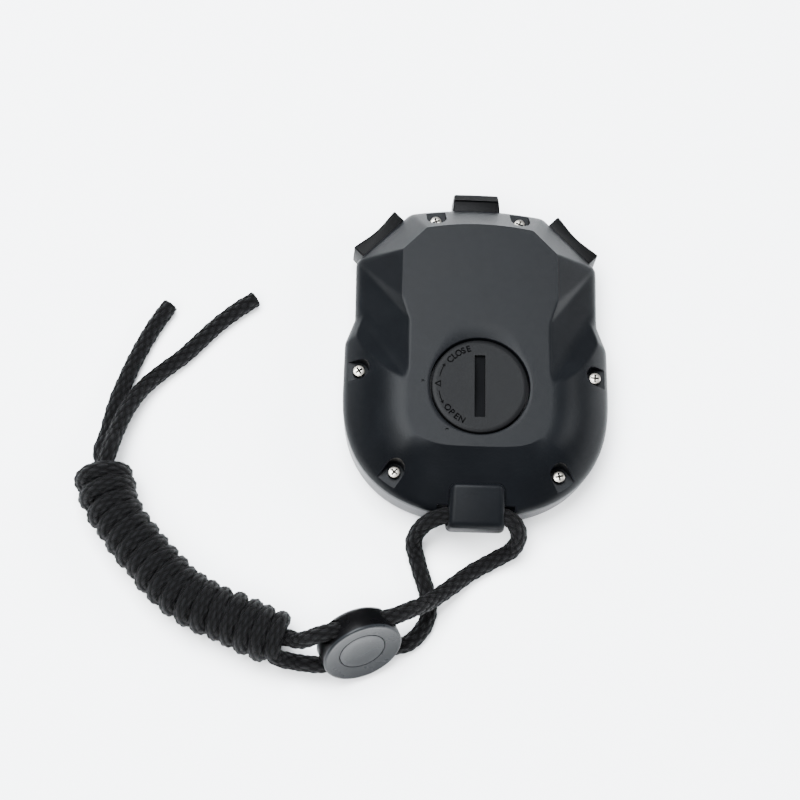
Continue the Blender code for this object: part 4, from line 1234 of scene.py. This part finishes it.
class STOPWATCH_OT_studio(PieceOperator):
    """Make the pale floor, the soft lights and the camera"""
    bl_idname = "stopwatch.studio"
    bl_label = "Studio"

    def make(self, finishes, sizes):
        bpy.ops.object.select_all(action='DESELECT')
        bpy.ops.mesh.primitive_plane_add(size=6, location=(0, 0, 0))
        floor = rename(bpy.context.active_object, "floor")
        paper = Finish("floor_paper", Specular_IOR_Level=0.1)
        grain = paper.noise(30, 2.0, 0.5)
        paper.feed("Base Color", paper.blend(grain, (0.93, 0.935, 0.94), (0.95, 0.955, 0.96)))
        paper.feed("Roughness", grain * 0.1 + 0.85)
        floor.data.materials.append(paper.made)

        world = bpy.data.worlds.new("soft_room")
        world.use_nodes = True
        world.node_tree.nodes["Background"].inputs["Color"].default_value = (0.88, 0.93, 1, 1)
        world.node_tree.nodes["Background"].inputs["Strength"].default_value = 0.25
        bpy.context.scene.world = world

        centre = (-0.02, -0.01, 0.01)
        area_light("over_top", (-0.28, 0.34, 1.3), centre, (0.9, 0.8), 104, (0.93, 0.965, 1))
        area_light("over_camera", (-0.55, -0.45, 1.3), centre, (1.2, 1.0), 56, (0.97, 0.985, 1))
        area_light("over_right", (0.95, 0.12, 0.7), centre, (0.5, 0.4), 16, (0.97, 0.985, 1))

        lens = bpy.data.cameras.new("camera")
        lens.lens, lens.sensor_width, lens.sensor_fit = 106.82, 36, 'HORIZONTAL'
        lens.clip_start, lens.clip_end = 0.05, 20
        camera = bpy.data.objects.new("camera", lens)
        bpy.context.collection.objects.link(camera)
        azimuth, elevation, roll = math.radians(-10.670), math.radians(72.332), math.radians(11.978)
        back = Vector((math.sin(azimuth) * math.cos(elevation), -math.cos(azimuth) * math.cos(elevation),
                       math.sin(elevation)))
        right = Vector((0, 0, 1)).cross(back).normalized()
        up = back.cross(right)
        turned_right = right * math.cos(roll) + up * math.sin(roll)
        turned_up = back.cross(turned_right)
        target = Vector((-19.48, -15.02, 22.56)) * MM
        place = Matrix((turned_right, turned_up, back)).transposed().to_4x4()
        place.translation = target + back * 0.576
        camera.matrix_world = place
        bpy.context.scene.camera = camera


# ---------------------------------------------------------------- panel and run

OPERATORS = (STOPWATCH_OT_studio, STOPWATCH_OT_lanyard, STOPWATCH_OT_case_back, STOPWATCH_OT_case_front,
             STOPWATCH_OT_case_screws, STOPWATCH_OT_battery_cover, STOPWATCH_OT_push_buttons,
             STOPWATCH_OT_cord_stopper, STOPWATCH_OT_display, STOPWATCH_OT_inner_parts)


class STOPWATCH_PT_pieces(Panel):
    """Lists the pieces of the stopwatch in the order they are made"""
    bl_label = "Stopwatch"
    bl_idname = "STOPWATCH_PT_pieces"
    bl_space_type, bl_region_type, bl_category = 'VIEW_3D', 'UI', "Stopwatch"

    def draw(self, context):
        for group in (context.scene.stopwatch_finishes, context.scene.stopwatch_sizes):
            column = self.layout.column()
            for key in group.__annotations__:
                column.prop(group, key)
        for operator in OPERATORS:
            self.layout.operator(operator.bl_idname)


CLASSES = (StopwatchFinishes, StopwatchSizes, *OPERATORS, STOPWATCH_PT_pieces)


def register():
    for item in CLASSES:
        bpy.utils.register_class(item)
    bpy.types.Scene.stopwatch_finishes = PointerProperty(type=StopwatchFinishes)
    bpy.types.Scene.stopwatch_sizes = PointerProperty(type=StopwatchSizes)


def unregister():
    del bpy.types.Scene.stopwatch_sizes
    del bpy.types.Scene.stopwatch_finishes
    for item in reversed(CLASSES):
        bpy.utils.unregister_class(item)


def main():
    register()
    for operator in OPERATORS:
        module, name = operator.bl_idname.split(".")
        getattr(getattr(bpy.ops, module), name)()


if __name__ == "__main__":
    main()
